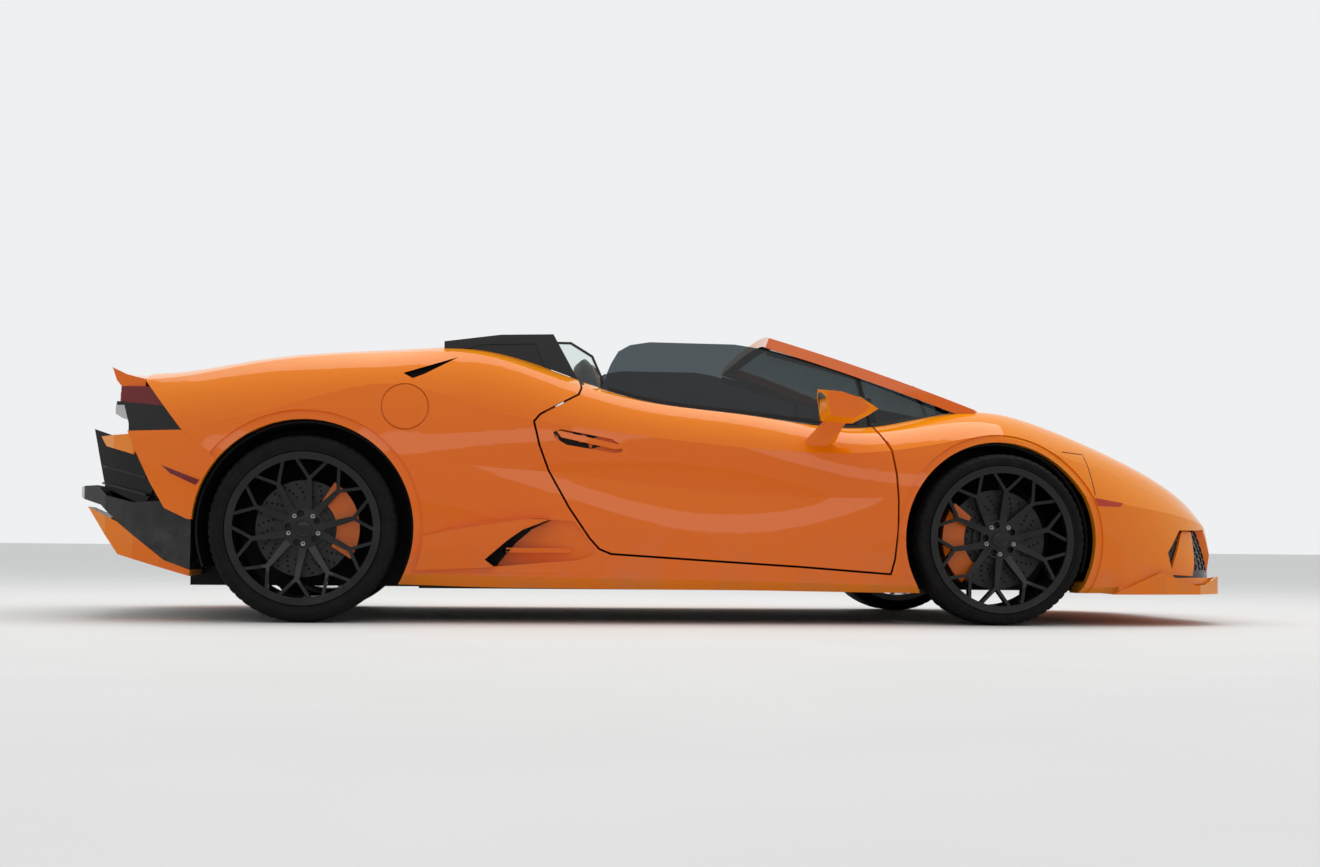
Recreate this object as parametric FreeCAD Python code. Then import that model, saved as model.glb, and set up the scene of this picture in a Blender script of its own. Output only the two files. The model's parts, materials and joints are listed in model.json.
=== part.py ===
import FreeCAD, Part
import math
import os

# Open two-seat mid-engined supercar, in millimetres.
# +X points to the nose, +Y to the car's left side, +Z up.
# The origin lies on the ground at the middle of the overall length.

Vec = FreeCAD.Vector

# Axles and wheels
FRONT_AXLE_X = 1240.0
REAR_AXLE_X = -1380.0
FRONT_TYRE_R = 327.0
REAR_TYRE_R = 343.0
FRONT_TYRE_W = 245.0
REAR_TYRE_W = 305.0
FRONT_FACE_Y = 952.0
REAR_FACE_Y = 957.0
RIM_LIP_R = 280.0
RIM_SEAT_R = 262.0
RIM_WALL = 9.0
SPOKE_PAIRS = 5
BOLT_CIRCLE_R = 56.0
HUB_R = 74.0
HUB_BORE_R = 30.0
FRONT_DISC_R = 190.0
REAR_DISC_R = 178.0
DISC_T = 32.0
DISC_BELL_R = 96.0
CALIPER_COVER = 12.0

# Body walls and gaps
WALL = 42.0
DOOR_WALL = 96.0
DOOR_IN_Y = 700.0
DOOR_INNER_Y = 765.0
DOOR_INNER_STEP = 10.0
SHUT_GAP = 8.0
SEAM_GAP = 0.3
FRONT_ARCH_R = 372.0
REAR_ARCH_R = 400.0
WELL_INNER_Y = 500.0
LINER_WALL = 7.0
LINER_CLEAR = 1.5
CLEAR = 0.3

# How far the cutters reach: past the ends, the sides, the tail's corners, the top and the underside
FAR_X = 2400.0
FAR_Y = 1200.0
PAST_Y = 1000.0
PAST_TAIL_Y = 900.0
FAR_UP = 1400.0
PAST_TOP = 1300.0
FAR_DOWN = 60.0
FLAP_IN_Y = 700.0
QUARTER_IN_Y = 500.0
HOUSE_REACH = 500.0
INTAKE_LOW_Z = 100.0
INTAKE_HIGH_Z = 500.0

# Main stations along the body
FRONT_END_X = 2260.0
REAR_END_X = -2260.0
NOSE_X = 2225.0
TAIL_X = -2110.0
COCKPIT_REAR_X = -470.0
TUB_FRONT_X = 1696.0
TUB_REAR_X = -1839.7
SPOILER_FRONT_X = -1973.5
DECK_HALF = 530.0
DECK_FRONT_X = -478.0
DECK_REAR_X = -1962.0
FLOOR_Z = 125.0
FLOOR_T = 30.0

# Doors
DOOR_HINGE_X = 747.0
DOOR_HINGE_Y = 893.0
HINGE_PIN_R = 8.0
HINGE_EYE_R = 14.0
HINGE_ARM_W = 16.0
HINGE_LEAF_H = 36.0
HINGE_SLOT_GAP = 5.0
HINGE_LEVELS = (330.0, 560.0)
HINGE_POST_X = 846.0
HINGE_POST_Y = 829.0

# Lids
BONNET_HINGE_X = 1302.0
BONNET_HINGE_Z = 797.0
BONNET_HINGE_Y = 530.0
BONNET_FOOT_Z = 687.0
DECK_HINGE_X = -1955.0
DECK_HINGE_Z = 944.0
DECK_HINGE_Y = 400.0
LID_PIN_R = 4.0
LID_PIN_HALF = 30.0
LID_BRACKET_HALF = 8.0

# Seats, wheel and dash
SEAT_Y = 372.0
STEERING_X = 300.0
STEERING_Y = 372.0
STEERING_Z = 735.0
STEERING_R = 178.0
STEERING_GRIP_R = 16.0
STEERING_RAKE = 22.0

# Spokes and running gear
SPOKE_TURN = 66.0
SPOKE_ROOT_R = 44.0
SPOKE_KNEE_R = 188.0
SPOKE_DEPTH = 62.0
STEM_W = 17.0
FORK_W = 12.0
FORK_SPREAD = 13.0
HUB_DEPTH = 66.0
BOLT_HOLE_R = 13.0
DISC_OFFSET = 14.0
BALL_Z = 105.0
KINGPIN_Y = 795.0
REAR_BALL_Y = 790.0
FRAME_Y = 480.3
HOUSE_WALL_T = 9.7
ARM_ROOM = 190.0
ARM_SPREAD = 130.0
ARM_R = 12.0
UPRIGHT_DEPTH = 60.0
UPRIGHT_HALF = 46.0
BOSS_R = 18.0
BOSS_H = 8.0
DISC_GAP = 6.0
SHAFT_R = 16.0
ENGINE_HALF = 300.0
ENGINE_FRONT_X = -600.0
ENGINE_REAR_X = -1540.0
ENGINE_TOP_Z = 760.0

# Tub
TUB_HALF = 790.0
LINER_OUT_Y = 840.0
LINER_LOW_Z = 200.0
# Walls along the car: x from, x to, inner and outer half-width, foot, height
TUB_WALLS = [(-640, 800, 600, 690, FLOOR_Z, 330), (800, TUB_FRONT_X, 440, 480, FLOOR_Z, 560),
             (TUB_REAR_X, -560, 440, 480, FLOOR_Z, 560), (-1780, -960, 440, 480, FLOOR_Z, 720),
             (900, 1580, 440, 480, FLOOR_Z, 640), (HINGE_POST_X, 864, 470, HINGE_POST_Y, 170, 600)]
# Walls across the car: x from, x to, half-width, height
TUB_BULKHEADS = [(1000, 1030, 480, 644.7), (TUB_FRONT_X - 26, TUB_FRONT_X, 480, 560), (-530, -490, 680, 900),
                 (TUB_REAR_X, -1812, 480, 600), (TUB_REAR_X, -1812, 120, 649.7)]

# Windscreen: three stations down its rake, each an arc through a side and a middle point.
# Columns: side x, y and z, middle x and z, then how far the side's x and z and the middle's
# x and z move for each millimetre that the frame is wider than the glass
SCREEN_ROWS = [
    (432, 552, 1094, 470, 1140, -0.85, 0.35, -0.85, 0.35),
    (812, 622, 980, 905, 1003, -0.25, -0.10, 0.0, 0.0),
    (1160, 694, 838, 1318, 826, 0.65, -0.26, 0.8, -0.3),
]
SCREEN_NORMAL = Vec(0.36, 0, 0.93)
WS_GLASS_T = 6.0
WS_FRAME_W = 46.0
WS_FRAME_T = 42.0
WS_FRAME_PROUD = 2.0
SCREEN_REACH = 100.0

# Side windows, with the height and half-width of two points up their lean
GLASS_LOW_Z = 800.0
GLASS_LOW_Y = 748.0
GLASS_TOP_Z = 1089.0
GLASS_TOP_Y = 606.0
GLASS_T = 5.0
GLASS_TOE = 1.5
GLASS_IN_Y = 400.0
SLAB_LENGTH = 2400.0
SLAB_WIDTH = 900.0
PILLAR_GAP = 7.0
GLASS_OUTLINE = [(-285, 700), (-285, 880), (-267, 924), (-237, 995), (-206, 1047), (-159, 1075), (-80, 1089),
                 (257, 1088), (340, 1076), (500, 1030), (736, 962), (762, 759), (766, 700)]
QUARTER_OUTLINE = [(773, 748), (745, 974), (920, 915), (1105, 838), (1140, 812), (1140, 795)]
QUARTER_LIFT = 6.0
QUARTER_GAP = 0.9

# Mirrors: outlines of the head at three distances from the middle of the car, and of the stalk
MIRROR_ROWS = {
    1112: [(540, 776), (528, 846), (530, 868), (580, 866), (650, 842), (690, 812), (665, 790), (625, 768)],
    1030: [(520, 760), (504, 846), (506, 879), (568, 877), (672, 853), (738, 811), (697, 784), (636, 753)],
    900: [(540, 768), (528, 846), (532, 868), (580, 866), (640, 846), (680, 812), (660, 790), (620, 764)],
}
MIRROR_FOOT_OUT_Y = 922.0
MIRROR_FOOT_IN_Y = 866.0
MIRROR_FOOT_TOP = [(563, 782), (563, 768), (643, 768), (643, 782)]
MIRROR_FOOT_LOW = [(489, 694), (489, 660), (560, 660), (608, 694)]

# Seats, dash and console in side view
SEAT_HALF = 220.0
SEAT_DISH_HALF = 150.0
SEAT_HEAD_HALF = 130.0
SEAT_BASE_Z = FLOOR_Z + FLOOR_T + CLEAR
SEAT_OUTLINE = [(-230, SEAT_BASE_Z), (170, SEAT_BASE_Z), (215, 190), (215, 330), (170, 372), (-120, 350),
                (-180, 430), (-300, 830),
                (-318, 1010), (-350, 1050), (-395, 1040), (-412, 1000), (-400, 830), (-330, 300)]
SEAT_DISH = [(260, 250), (260, 500), (-100, 900), (-262, 872), (-150, 430), (-110, 300), (150, 318)]
DASH_HALF = 640.0
DASH_OUTLINE = [(560, 800), (600, 836), (760, 850), (980, 810), (1000, 770), (1000, 645), (640, 645),
                (560, 700)]
CONSOLE_HALF = 110.0
CONSOLE_OUTLINE = [(-440, SEAT_BASE_Z), (998, SEAT_BASE_Z), (998, 700), (700, 700), (560, 520), (100, 430),
                   (-440, 430)]
STEERING_HUB_T = 60.0
COLUMN_R = 26.0
COLUMN_LENGTH = 380.0
SHROUD_HALF = 40.0
SHROUD_OUTLINE = [(520, 600), (700, 560), (720, 700), (600, 760), (540, 700)]

# Deck fins
FIN_OUT_Y = 680.0
FIN_IN_Y = 545.0
FIN_OUTLINE = [(-880, 950), (-880, 1068), (-664, 1098), (-462, 1104), (-352, 905), (-420, 860), (-700, 850)]
FIN_RECESS = [(-800, 1040), (-740, 1059), (-532, 1066), (-484, 956)]
FIN_RECESS_DEPTH = 12.0
# Framed panes ahead of the fins
PANE_OUTLINE = [(-480, 1082), (-389, 1082), (-303, 1030), (-265, 945), (-262, 880), (-420, 880)]
PANE_FRAME = 9.0
PANE_Y = 615.0
PANE_T = 12.0
PANE_GLASS_T = 4.0

# Tail
# Spoiler: its outline in side view at three distances from the middle of the car
SPOILER_ROWS = {
    806: [(-1973.5, 862), (-1973.5, 890), (-2010, 898), (-2043, 907), (-2096, 932), (-2092, 926),
          (-2078, 884),
          (-2060, 862)],
    450: [(-1973.5, 862), (-1973.5, 938), (-2030, 934), (-2098, 938), (-2158, 963), (-2154, 956),
          (-2134, 912),
          (-2090, 862)],
    0: [(-1973.5, 862), (-1973.5, 950), (-2050, 952), (-2150, 968), (-2240, 1004), (-2236, 997), (-2205, 950),
        (-2110, 862)],
}
# The car's rear corner from above, right-hand half
TAIL_PLAN = [(-1700, 0), (-1700, -890), (-1800, -888), (-1900, -878), (-2000, -852), (-2110, -790),
             (-2205, -690),
             (-2240, -560), (-2256, -420), (REAR_END_X, 0)]
WING_PLAN = [(-1900, 0), (-1900, -900), (-2000, -882), (-2085, -800), (-2150, -700), (-2175, -560),
             (-2200, 0)]
TAIL_PANEL = [(-756, 861.7), (-756, 693), (-600, 693), (-600, 636.3), (600, 636.3), (600, 693), (756, 693),
              (756, 861.7)]
TAIL_PANEL_X = -2010.0
TAIL_PANEL_T = 30.0
LEDGE_PLAN = [(-2030, -752), (-2088, -735), (-2116, -600), (-2143, -450), (-2178, -250), (-2195, 0)]
LEDGE_Z = 797.0
LEDGE_T = 14.0
SIDE_TRIM = [(-2050, 802), (-2022, 692.6), (-1822, 697.6), (-1898.6, 790.2), (-2040, 802)]
SIDE_TRIM_OUT_Y = 814.0
SIDE_TRIM_IN_Y = 764.0
TAIL_LAMP = [(-2130, 861.7), (-2112, 815), (-2040.3, 802.3), (-1899, 790.5), (-1956, 861.7)]
LAMP_PLAN = [(-1890, -814), (-2030, -812), (-2062, -800), (-2098, -600), (-2126, -440), (-2040.3, -440),
             (-2040.3, -764), (-1890, -764)]
MESH_X = -2024.0
MESH_Z0 = 666.0
MESH_Z1 = 796.0
MESH_HALF = 450.0
MESH_T = 5.0
MESH_PITCH_Y = 46.0
MESH_PITCH_Z = 38.0
MESH_BAR = 7.0
EXHAUST_Y = 115.0
EXHAUST_R = 52.0
EXHAUST_WALL = 5.0
EXHAUST_Z = 731.0
EXHAUST_END_X = -2120.0
CAN_REAR_X = -1985.0
CAN_FRONT_X = -1800.0
CAN_HALF = 260.0
CAN_LOW = 81.0
CAN_HIGH = 60.0
OUTLET_GAP = 6.0
CORNER_WING = [(-2001, 683), (-2146, 680), (-2119, 642), (-1998, 607), (-1980, 640)]
CORNER_WING_IN_Y = 600.3
CORNER_FIN = [(-2126, 570), (-2126, 563), (-1955, 519), (-1955, 527)]
CORNER_FIN_STEP = -62.0
CENTRE_HALF = 600.0
CENTRE_PANEL = [(-2000, 425), (-2146, 490), (-2176, 636), (-2010, 636), (-1955, 520)]
CENTRE_POST = [(-2146, 490), (-2191, 714), (-2120, 690), (-2060, 640), (-2080, 490)]
CENTRE_POST_T = 26.0
DIFFUSER = [(-1787, 190), (-1787, 380), (-1879, 440), (-2000, 432), (-2105, 458), (-2146, 497), (-2262, 494),
            (-2258, 462), (-2130, 424), (-2064, 363), (-1880, 222)]
UNDERTAIL_HALF = 560.0
UNDERTAIL = [(-1787, 170), (-1787, 376), (-2130, 430), (-2128, 420), (-2050, 250), (-1860, 172)]
DIFFUSER_HOLLOW = [(-1700, 195), (-1700, 366), (-1875, 398), (-1990, 410), (-2080, 415), (-2030, 285),
                   (-1860, 195)]
DIFFUSER_HOLLOW_HALF = 535.0
DIFFUSER_FINS_Y = (-420, -250, 250, 420)
DIFFUSER_FIN = [(-1860, 172), (-1860, 240), (-2090, 380), (-2170, 405), (-2105, 252)]
FIN_HALF_T = 5.0
BLADE_OUT_Y = 890.0
BLADE_IN_Y = 560.3
REAR_BLADE = [(-1790, 166), (-1786, 188), (-1880, 222), (-2064, 363), (-2187, 418), (-2057, 243)]

# Side intake ahead of the rear wheel: its mouth, vane and blade in side view, and the
# slope of its floor, its backing and its blade from above
INTAKE = [(-391, 379), (-481, 385), (-545, 389), (-800, 300), (-800, 215), (-682, 209), (-370, 236),
          (-300, 262)]
INTAKE_BACKING = 14.0
INTAKE_BACK_PLAN = [(-290, -1000), (-290, -893), (-600, -862), (-822, -820), (-822, -1000)]
INTAKE_FLOOR_PLAN = [(-310, -1000), (-310, -934), (-600, -885), (-800, -845), (-800, -1000)]
INTAKE_VANE = [(-640, 262), (-400, 262), (-400, 279), (-640, 279)]
INTAKE_VANE_Y = 928.0
INTAKE_FLOOR_Y = 840.0
SIDE_BLADE_IN_Y = 900.0
SIDE_BLADE = [(-985, 311), (-847, 342), (-664, 372), (-560, 387), (-481, 384), (-581, 346), (-635, 308),
              (-719, 235), (-682, 207), (-990, 193)]
SIDE_BLADE_PLAN = [(-1000, -951), (-481, -962), (-470, -962), (-470, -936), (-600, -927), (-1000, -915)]
DECK_SLOT = [(-1030, 925), (-994, 905), (-950, 924), (-824, 997)]
DECK_SLOT_DEPTH = 33.0
ARCH_LIP_DEPTH = 7.0
FRONT_LIP_W = 29.0
REAR_LIP_W = 34.0

# Door handle
HANDLE_POCKET = [(-470, 712), (-440, 722), (-250, 688), (-208, 660), (-214, 640), (-240, 636), (-420, 664),
                 (-465, 690)]
HANDLE_BAR = [(-484, 716), (-444, 716), (-236, 672), (-198, 664), (-204, 652), (-240, 650), (-440, 692)]
HANDLE_DEPTH = 16.0
HANDLE_BAR_T = 9.0

# Nose: side intake with its vane, the splitter's fence and the lamps from above
NOSE_INTAKE = [(1865, 205), (1995, 370), (2110, 372), (2205, 380), (2400, 380), (2400, 185), (1925, 185)]
NOSE_INTAKE_OUT_Y = 860.0
NOSE_INTAKE_IN_Y = 230.0
NOSE_VANE = [(2078, 395), (2190, 395), (2190, 300), (2165, 150), (2100, 150), (2061, 186), (2073, 235)]
NOSE_VANE_OUT_Y = 640.0
NOSE_VANE_IN_Y = 556.0
GRILLE_T = 18.0
GRILLE_GAP = 0.7
GRILLE_LAP = 12.0
FENCE = [(1672, 121), (1888, 207), (1954, 182), (2041, 156), (2110, 160), (2183, 189), (2213, 187),
         (2250, 158),
         (2255, 121)]
FENCE_PLAN = [(1672, -950), (1900, -905), (2060, -850), (2190, -712), (2240, -570), (2258, -420),
              (2244, -418),
              (2226, -566), (2178, -704), (2052, -838), (1896, -891), (1672, -935)]
LAMP_PLAN_FRONT = [(1740, -560), (1790, -430), (1990, -380), (2070, -380), (2046, -500), (1930, -560)]

# Engine cover louvres: first and last front edge, pitch, width, half-length and depth
LOUVRE_FRONT_X = -800.0
LOUVRE_COUNT = 7
LOUVRE_PITCH = 130.0
LOUVRE_W = 58.0
LOUVRE_HALF = 300.0
LOUVRE_DEPTH = 22.0
LOUVRE_LOW_Z = 940.0
LOUVRE_TOP_Z = 1120.0

# Fuel flap
FLAP_X = -1020.0
FLAP_Z = 797.0
FLAP_R = 84.0
FLAP_GAP = 3.5
FLAP_T = 9.0

# Body sections. Each row is one station along X with the half-width and the
# height of its character lines, from the floor up to the centre of the deck.
# Columns: x, floor, sill, low crease, waist, shoulder, top edge, deck, centre
SECTIONS = [
    (TAIL_X, (600, 300), (770, 345), (850, 420), (872, 560), (862, 700), (795, 885), (520, 930), 945),
    (-1850, (760, 200), (860, 225), (915, 330), (937, 520), (922, 700), (812, 900), (530, 945), 955),
    (-1600, (860, 150), (905, 180), (945, 330), (963, 560), (942, 750), (815, 950), (530, 990), 985),
    (REAR_AXLE_X, (870, 140), (920, 178), (950, 330), (966, 600), (935, 815), (805, 985), (530, 1018), 1010),
    (-1030, (880, 140), (928, 180), (950, 330), (952, 610), (898, 880), (780, 1012), (530, 1045), 1035),
    (-740, (900, 133), (938, 176), (930, 372), (922, 580), (893, 800), (765, 1010), (530, 1060), 1050),
    (-450, (905, 130), (940, 172), (932, 380), (912, 560), (902, 742), (790, 922), (530, 990), 1000),
    (-100, (905, 128), (940, 168), (930, 350), (900, 520), (903, 698), (800, 836), (530, 850), 858),
    (300, (903, 127), (938, 162), (927, 303), (895, 490), (896, 661), (792, 792), (530, 800), 805),
    (750, (900, 122), (932, 152), (930, 275), (918, 480), (893, 655), (770, 752), (530, 790), 800),
    (1000, (905, 121), (935, 148), (942, 280), (946, 500), (908, 690), (745, 797), (530, 828), 840),
    (FRONT_AXLE_X, (905, 121), (935, 148), (946, 300), (955, 540), (905, 720), (715, 826), (520, 824), 828),
    (1500, (900, 124), (930, 148), (943, 300), (945, 510), (880, 650), (700, 764), (480, 768), 776),
    (1750, (880, 126), (915, 150), (912, 290), (898, 465), (815, 575), (655, 672), (420, 696), 708),
    (1950, (820, 130), (862, 156), (850, 280), (812, 435), (735, 515), (575, 592), (350, 630), 643),
    (2110, (720, 136), (765, 162), (745, 268), (690, 405), (620, 455), (470, 510), (270, 550), 563),
    (NOSE_X, (520, 142), (560, 170), (540, 262), (490, 370), (440, 400), (330, 436), (180, 462), 472),
]

# Outward bulge of each panel between its two lines, as a share of its width
BULGE = (0.0, 0.0, 0.02, 0.03, 0.07, 0.03)

# Side outline of the door, as (x, z), from the belt at the rear, down and round
DOOR_REAR_CUT = [(-356, 1200), (-356, 884), (-369, 857), (-516, 776), (-538, 750),
                 (-517, 661), (-482, 568), (-406, 432), (-330, 321), (-293, 280), (-250, 263)]
DOOR_LOW_CUT = [(82, 243), (461, 221), (807, 196)]
DOOR_FRONT_CUT = [(822, 250), (834, 359), (837, 473), (832, 570), (818, 662), (779, 745), (760, 1200)]


def mirrored(shape):
    """The same shape on the other side of the car."""
    return shape.mirror(Vec(0, 0, 0), Vec(0, 1, 0))


def both_sides(shape):
    """A right-hand piece and its left-hand twin, as one compound."""
    return Part.makeCompound(solids_of(shape) + solids_of(mirrored(shape)))


def solids_of(shape):
    return list(shape.Solids)


def box(x0, x1, y0, y1, z0, z1):
    return Part.makeBox(x1 - x0, y1 - y0, z1 - z0, Vec(x0, y0, z0))


def polygon_face(points):
    wire = Part.makePolygon(points + [points[0]])
    return Part.Face(wire)


def side_prism(outline, y0, y1):
    """An outline drawn in side view (x, z), pushed across the car."""
    face = polygon_face([Vec(x, y0, z) for x, z in outline])
    return face.extrude(Vec(0, y1 - y0, 0))


def plan_prism(outline, z0, z1):
    """An outline drawn from above (x, y), pushed upwards."""
    face = polygon_face([Vec(x, y, z0) for x, y in outline])
    return face.extrude(Vec(0, 0, z1 - z0))


def cross_prism(outline, x0, x1):
    """An outline drawn from the front (y, z), pushed along the car."""
    face = polygon_face([Vec(x0, y, z) for y, z in outline])
    return face.extrude(Vec(x1 - x0, 0, 0))


def cylinder_y(x, z, radius, y0, y1):
    return Part.makeCylinder(radius, abs(y1 - y0), Vec(x, min(y0, y1), z), Vec(0, 1, 0))


def inset_corner(before, corner, after, wall):
    """Move a corner inwards by the wall, along the mitre of its two edges."""
    ax, ay = corner[0] - before[0], corner[1] - before[1]
    bx, by = after[0] - corner[0], after[1] - corner[1]
    al = math.hypot(ax, ay)
    bl = math.hypot(bx, by)
    nx = -ay / al - by / bl
    ny = ax / al + bx / bl
    length = math.hypot(nx, ny)
    cosine = (nx * -ay / al + ny * ax / al) / length
    reach = wall / max(cosine, 0.5)
    return corner[0] + nx / length * reach, corner[1] + ny / length * reach


def section_corners(row, inset):
    """Half-width and height of the lines at one station, from floor to deck."""
    lines = [tuple(map(float, pair)) for pair in row[1:8]]
    centre = (0.0, float(row[8]))
    if inset == 0:
        return lines, centre
    ring = [(0.0, lines[0][1])] + lines + [centre]
    moved = []
    for i in range(1, 8):
        moved.append(inset_corner(ring[i - 1], ring[i], ring[i + 1], inset))
    return moved, (0.0, centre[1] - inset)


def bulged_edge(a, b, x, side, share):
    """A straight or gently bowed edge between two lines of a section."""
    start = Vec(x, side * a[0], a[1])
    end = Vec(x, side * b[0], b[1])
    dy, dz = b[0] - a[0], b[1] - a[1]
    middle = Vec(x, side * ((a[0] + b[0]) / 2 + dz * share), (a[1] + b[1]) / 2 - dy * share)
    if share == 0:
        return Part.makeLine(start, end)
    return Part.Arc(start, middle, end).toShape()


def section_wire(row, inset):
    x = float(row[0])
    corners, centre = section_corners(row, inset)
    edges = []
    for i in range(6):
        edges.append(bulged_edge(corners[i], corners[i + 1], x, -1, BULGE[i]))
    left_deck = Vec(x, corners[6][0], corners[6][1])
    right_deck = Vec(x, -corners[6][0], corners[6][1])
    edges.append(Part.Arc(right_deck, Vec(x, 0, centre[1]), left_deck).toShape())
    for i in range(6, 0, -1):
        a, b = corners[i - 1], corners[i]
        edges.append(bulged_edge(a, b, x, 1, BULGE[i - 1]))
    edges.append(Part.makeLine(Vec(x, corners[0][0], corners[0][1]), Vec(x, -corners[0][0], corners[0][1])))
    return Part.Wire(Part.__sortEdges__(edges))


def body_solid(inset=0.0):
    wires = [section_wire(row, inset) for row in SECTIONS]
    solid = Part.makeLoft(wires, True, False)
    if inset == 0:
        return solid
    keep = box(TAIL_X + inset, NOSE_X - inset, -FAR_Y, FAR_Y, 0, FAR_UP)
    return solid.common(keep)



def grown(outline, gap):
    """An outline moved outwards by a gap, with its corners kept sharp."""
    face = polygon_face([Vec(x, z, 0) for x, z in outline])
    wider = face.makeOffset2D(gap, 2)
    return [(v.X, v.Y) for v in wider.OuterWire.OrderedVertexes]


def fused(shapes):
    whole = shapes[0]
    if len(shapes) > 1:
        whole = shapes[0].fuse(shapes[1:])
    return whole.removeSplitter()


def largest(shape):
    """The main solid of a cut, without slivers."""
    return max(shape.Solids, key=lambda solid: solid.Volume)


def half_box(x0, x1, z0, z1, inner_y=0.0):
    """A box over the right-hand half of the car."""
    return box(x0, x1, -FAR_Y, -inner_y, z0, z1)


def turned(profile, centre, axis=Vec(0, 1, 0)):
    """A profile of (radius, y) points turned into a solid about a wheel axis."""
    face = polygon_face([Vec(centre.x + r, centre.y + y, centre.z) for r, y in profile])
    return face.revolve(centre, axis, 360)


# Outlines of the panels in side view

BUMPER_TOP = [(1330, 735), (1440, 684), (1600, 634), (1700, 590), (1790, 545), (2035, 480), (2048, 640)]
BUMPER = [(1330, 0)] + BUMPER_TOP + [(2400, 640), (2400, 0)]
DOOR_EDGE = [(806, 190, 932), (824, 250, 931), (835, 359, 926), (838, 473, 922), (833, 570, 914),
             (820, 655, 896),
             (800, 700, 850)]
SPLITTER = [(1700, 0), (1700, -935), (1900, -905), (2060, -850), (2190, -712), (2240, -570),
            (FRONT_END_X, -380),
            (FRONT_END_X, 0)]
SPLITTER_Z0 = 121.0
SPLITTER_Z1 = 150.0
FENDER_FRONT_X = 2046.0
SILL = [(-1060, 60), (-1060, 192), (-735, 187), (-300, 184), (-268, 246), (-250, 255),
        (82, 235), (461, 213), (807, 188), (960, 176), (960, 60)]
TAIL_CUT = [(-1973.2, 884), (-1829, 704), (-1709, 607), (-1640, 540), (-1640, 60)]
BUMPER_SIDE = [(-2021, 692), (-1820, 697), (-1700, 600), (-1600, 520), (-1600, 360), (-1796, 373),
               (-1879, 412), (-1934, 506), (-1990, 622)]

# Outlines seen from above, right-hand half

BONNET_SIDE = [(1272, -578), (1500, -548), (1720, -490), (1960, -410), (2095, -240), (2125, 0)]
BONNET_REAR = [(1397, 0), (1368, -330), (1332, -446), (1293, -500)]
COCKPIT = [(COCKPIT_REAR_X, -690), (1090, -690), (1190, -668), (1290, -588), (1370, -330), (1400, 0)]
SCUTTLE_REAR = [(1070, -600), (1120, -560), (1210, -400), (1262, -200), (1280, 0)]
SCUTTLE_FRONT = [(1372, 0), (1338, -330), (1262, -555), (1250, -585)]
SCUTTLE_MID = [(1340, 0), (1308, -330), (1246, -555), (1236, -585)]
SCUTTLE_Z = 560.0
SCUTTLE_TOP_Z = 900.0
COWL_Z = 778.0
DASH_TOP = [(975, -600), (1060, -590), (1110, -555), (1200, -395), (1250, -200), (1268, 0)]
DASH_TOP_Z = 796.0
DASH_TOP_T = 24.0


def door_outline():
    return DOOR_REAR_CUT + DOOR_LOW_CUT + DOOR_FRONT_CUT


def door_step():
    """The step along the inner rear edge, which lets the door swing past the wing."""
    ahead = [(x + DOOR_INNER_STEP, z) for x, z in door_outline()]
    inner = side_prism(door_outline(), -DOOR_INNER_Y, -DOOR_IN_Y + 1)
    return inner.cut(side_prism(ahead, -DOOR_INNER_Y - 1, -DOOR_IN_Y + 2))


def bonnet_outline():
    """The whole bonnet from above, both halves."""
    right = BONNET_SIDE[:-1]
    left = [(x, -y) for x, y in reversed(right)]
    rear = [(x, -y) for x, y in reversed(BONNET_REAR[1:])] + BONNET_REAR
    return right + [BONNET_SIDE[-1]] + left + rear


def deck_outline():
    return [(DECK_FRONT_X, -DECK_HALF), (DECK_REAR_X, -DECK_HALF), (DECK_REAR_X, DECK_HALF),
            (DECK_FRONT_X, DECK_HALF)]


def wells():
    """The four round wheel wells, as cutters."""
    front = cylinder_y(FRONT_AXLE_X, FRONT_TYRE_R, FRONT_ARCH_R, -FAR_Y, -WELL_INNER_Y)
    rear = cylinder_y(REAR_AXLE_X, REAR_TYRE_R, REAR_ARCH_R, -FAR_Y, -WELL_INNER_Y)
    return [front, rear]


def door_relief():
    """The room that the door's front edge needs as it swings, round the hinge."""
    hinge = Vec(DOOR_HINGE_X, -DOOR_HINGE_Y, 0)
    profile = []
    for x, z, y in DOOR_EDGE:
        reach = math.hypot(x - DOOR_HINGE_X, y - DOOR_HINGE_Y) + HINGE_SLOT_GAP
        profile.append(Vec(hinge.x + reach, hinge.y, z))
    low, high = DOOR_EDGE[0][1], DOOR_EDGE[-1][1]
    ring = [Vec(hinge.x, hinge.y, low)] + profile + [Vec(hinge.x, hinge.y, high)]
    return polygon_face(ring).revolve(hinge, Vec(0, 0, 1), 360)


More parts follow.
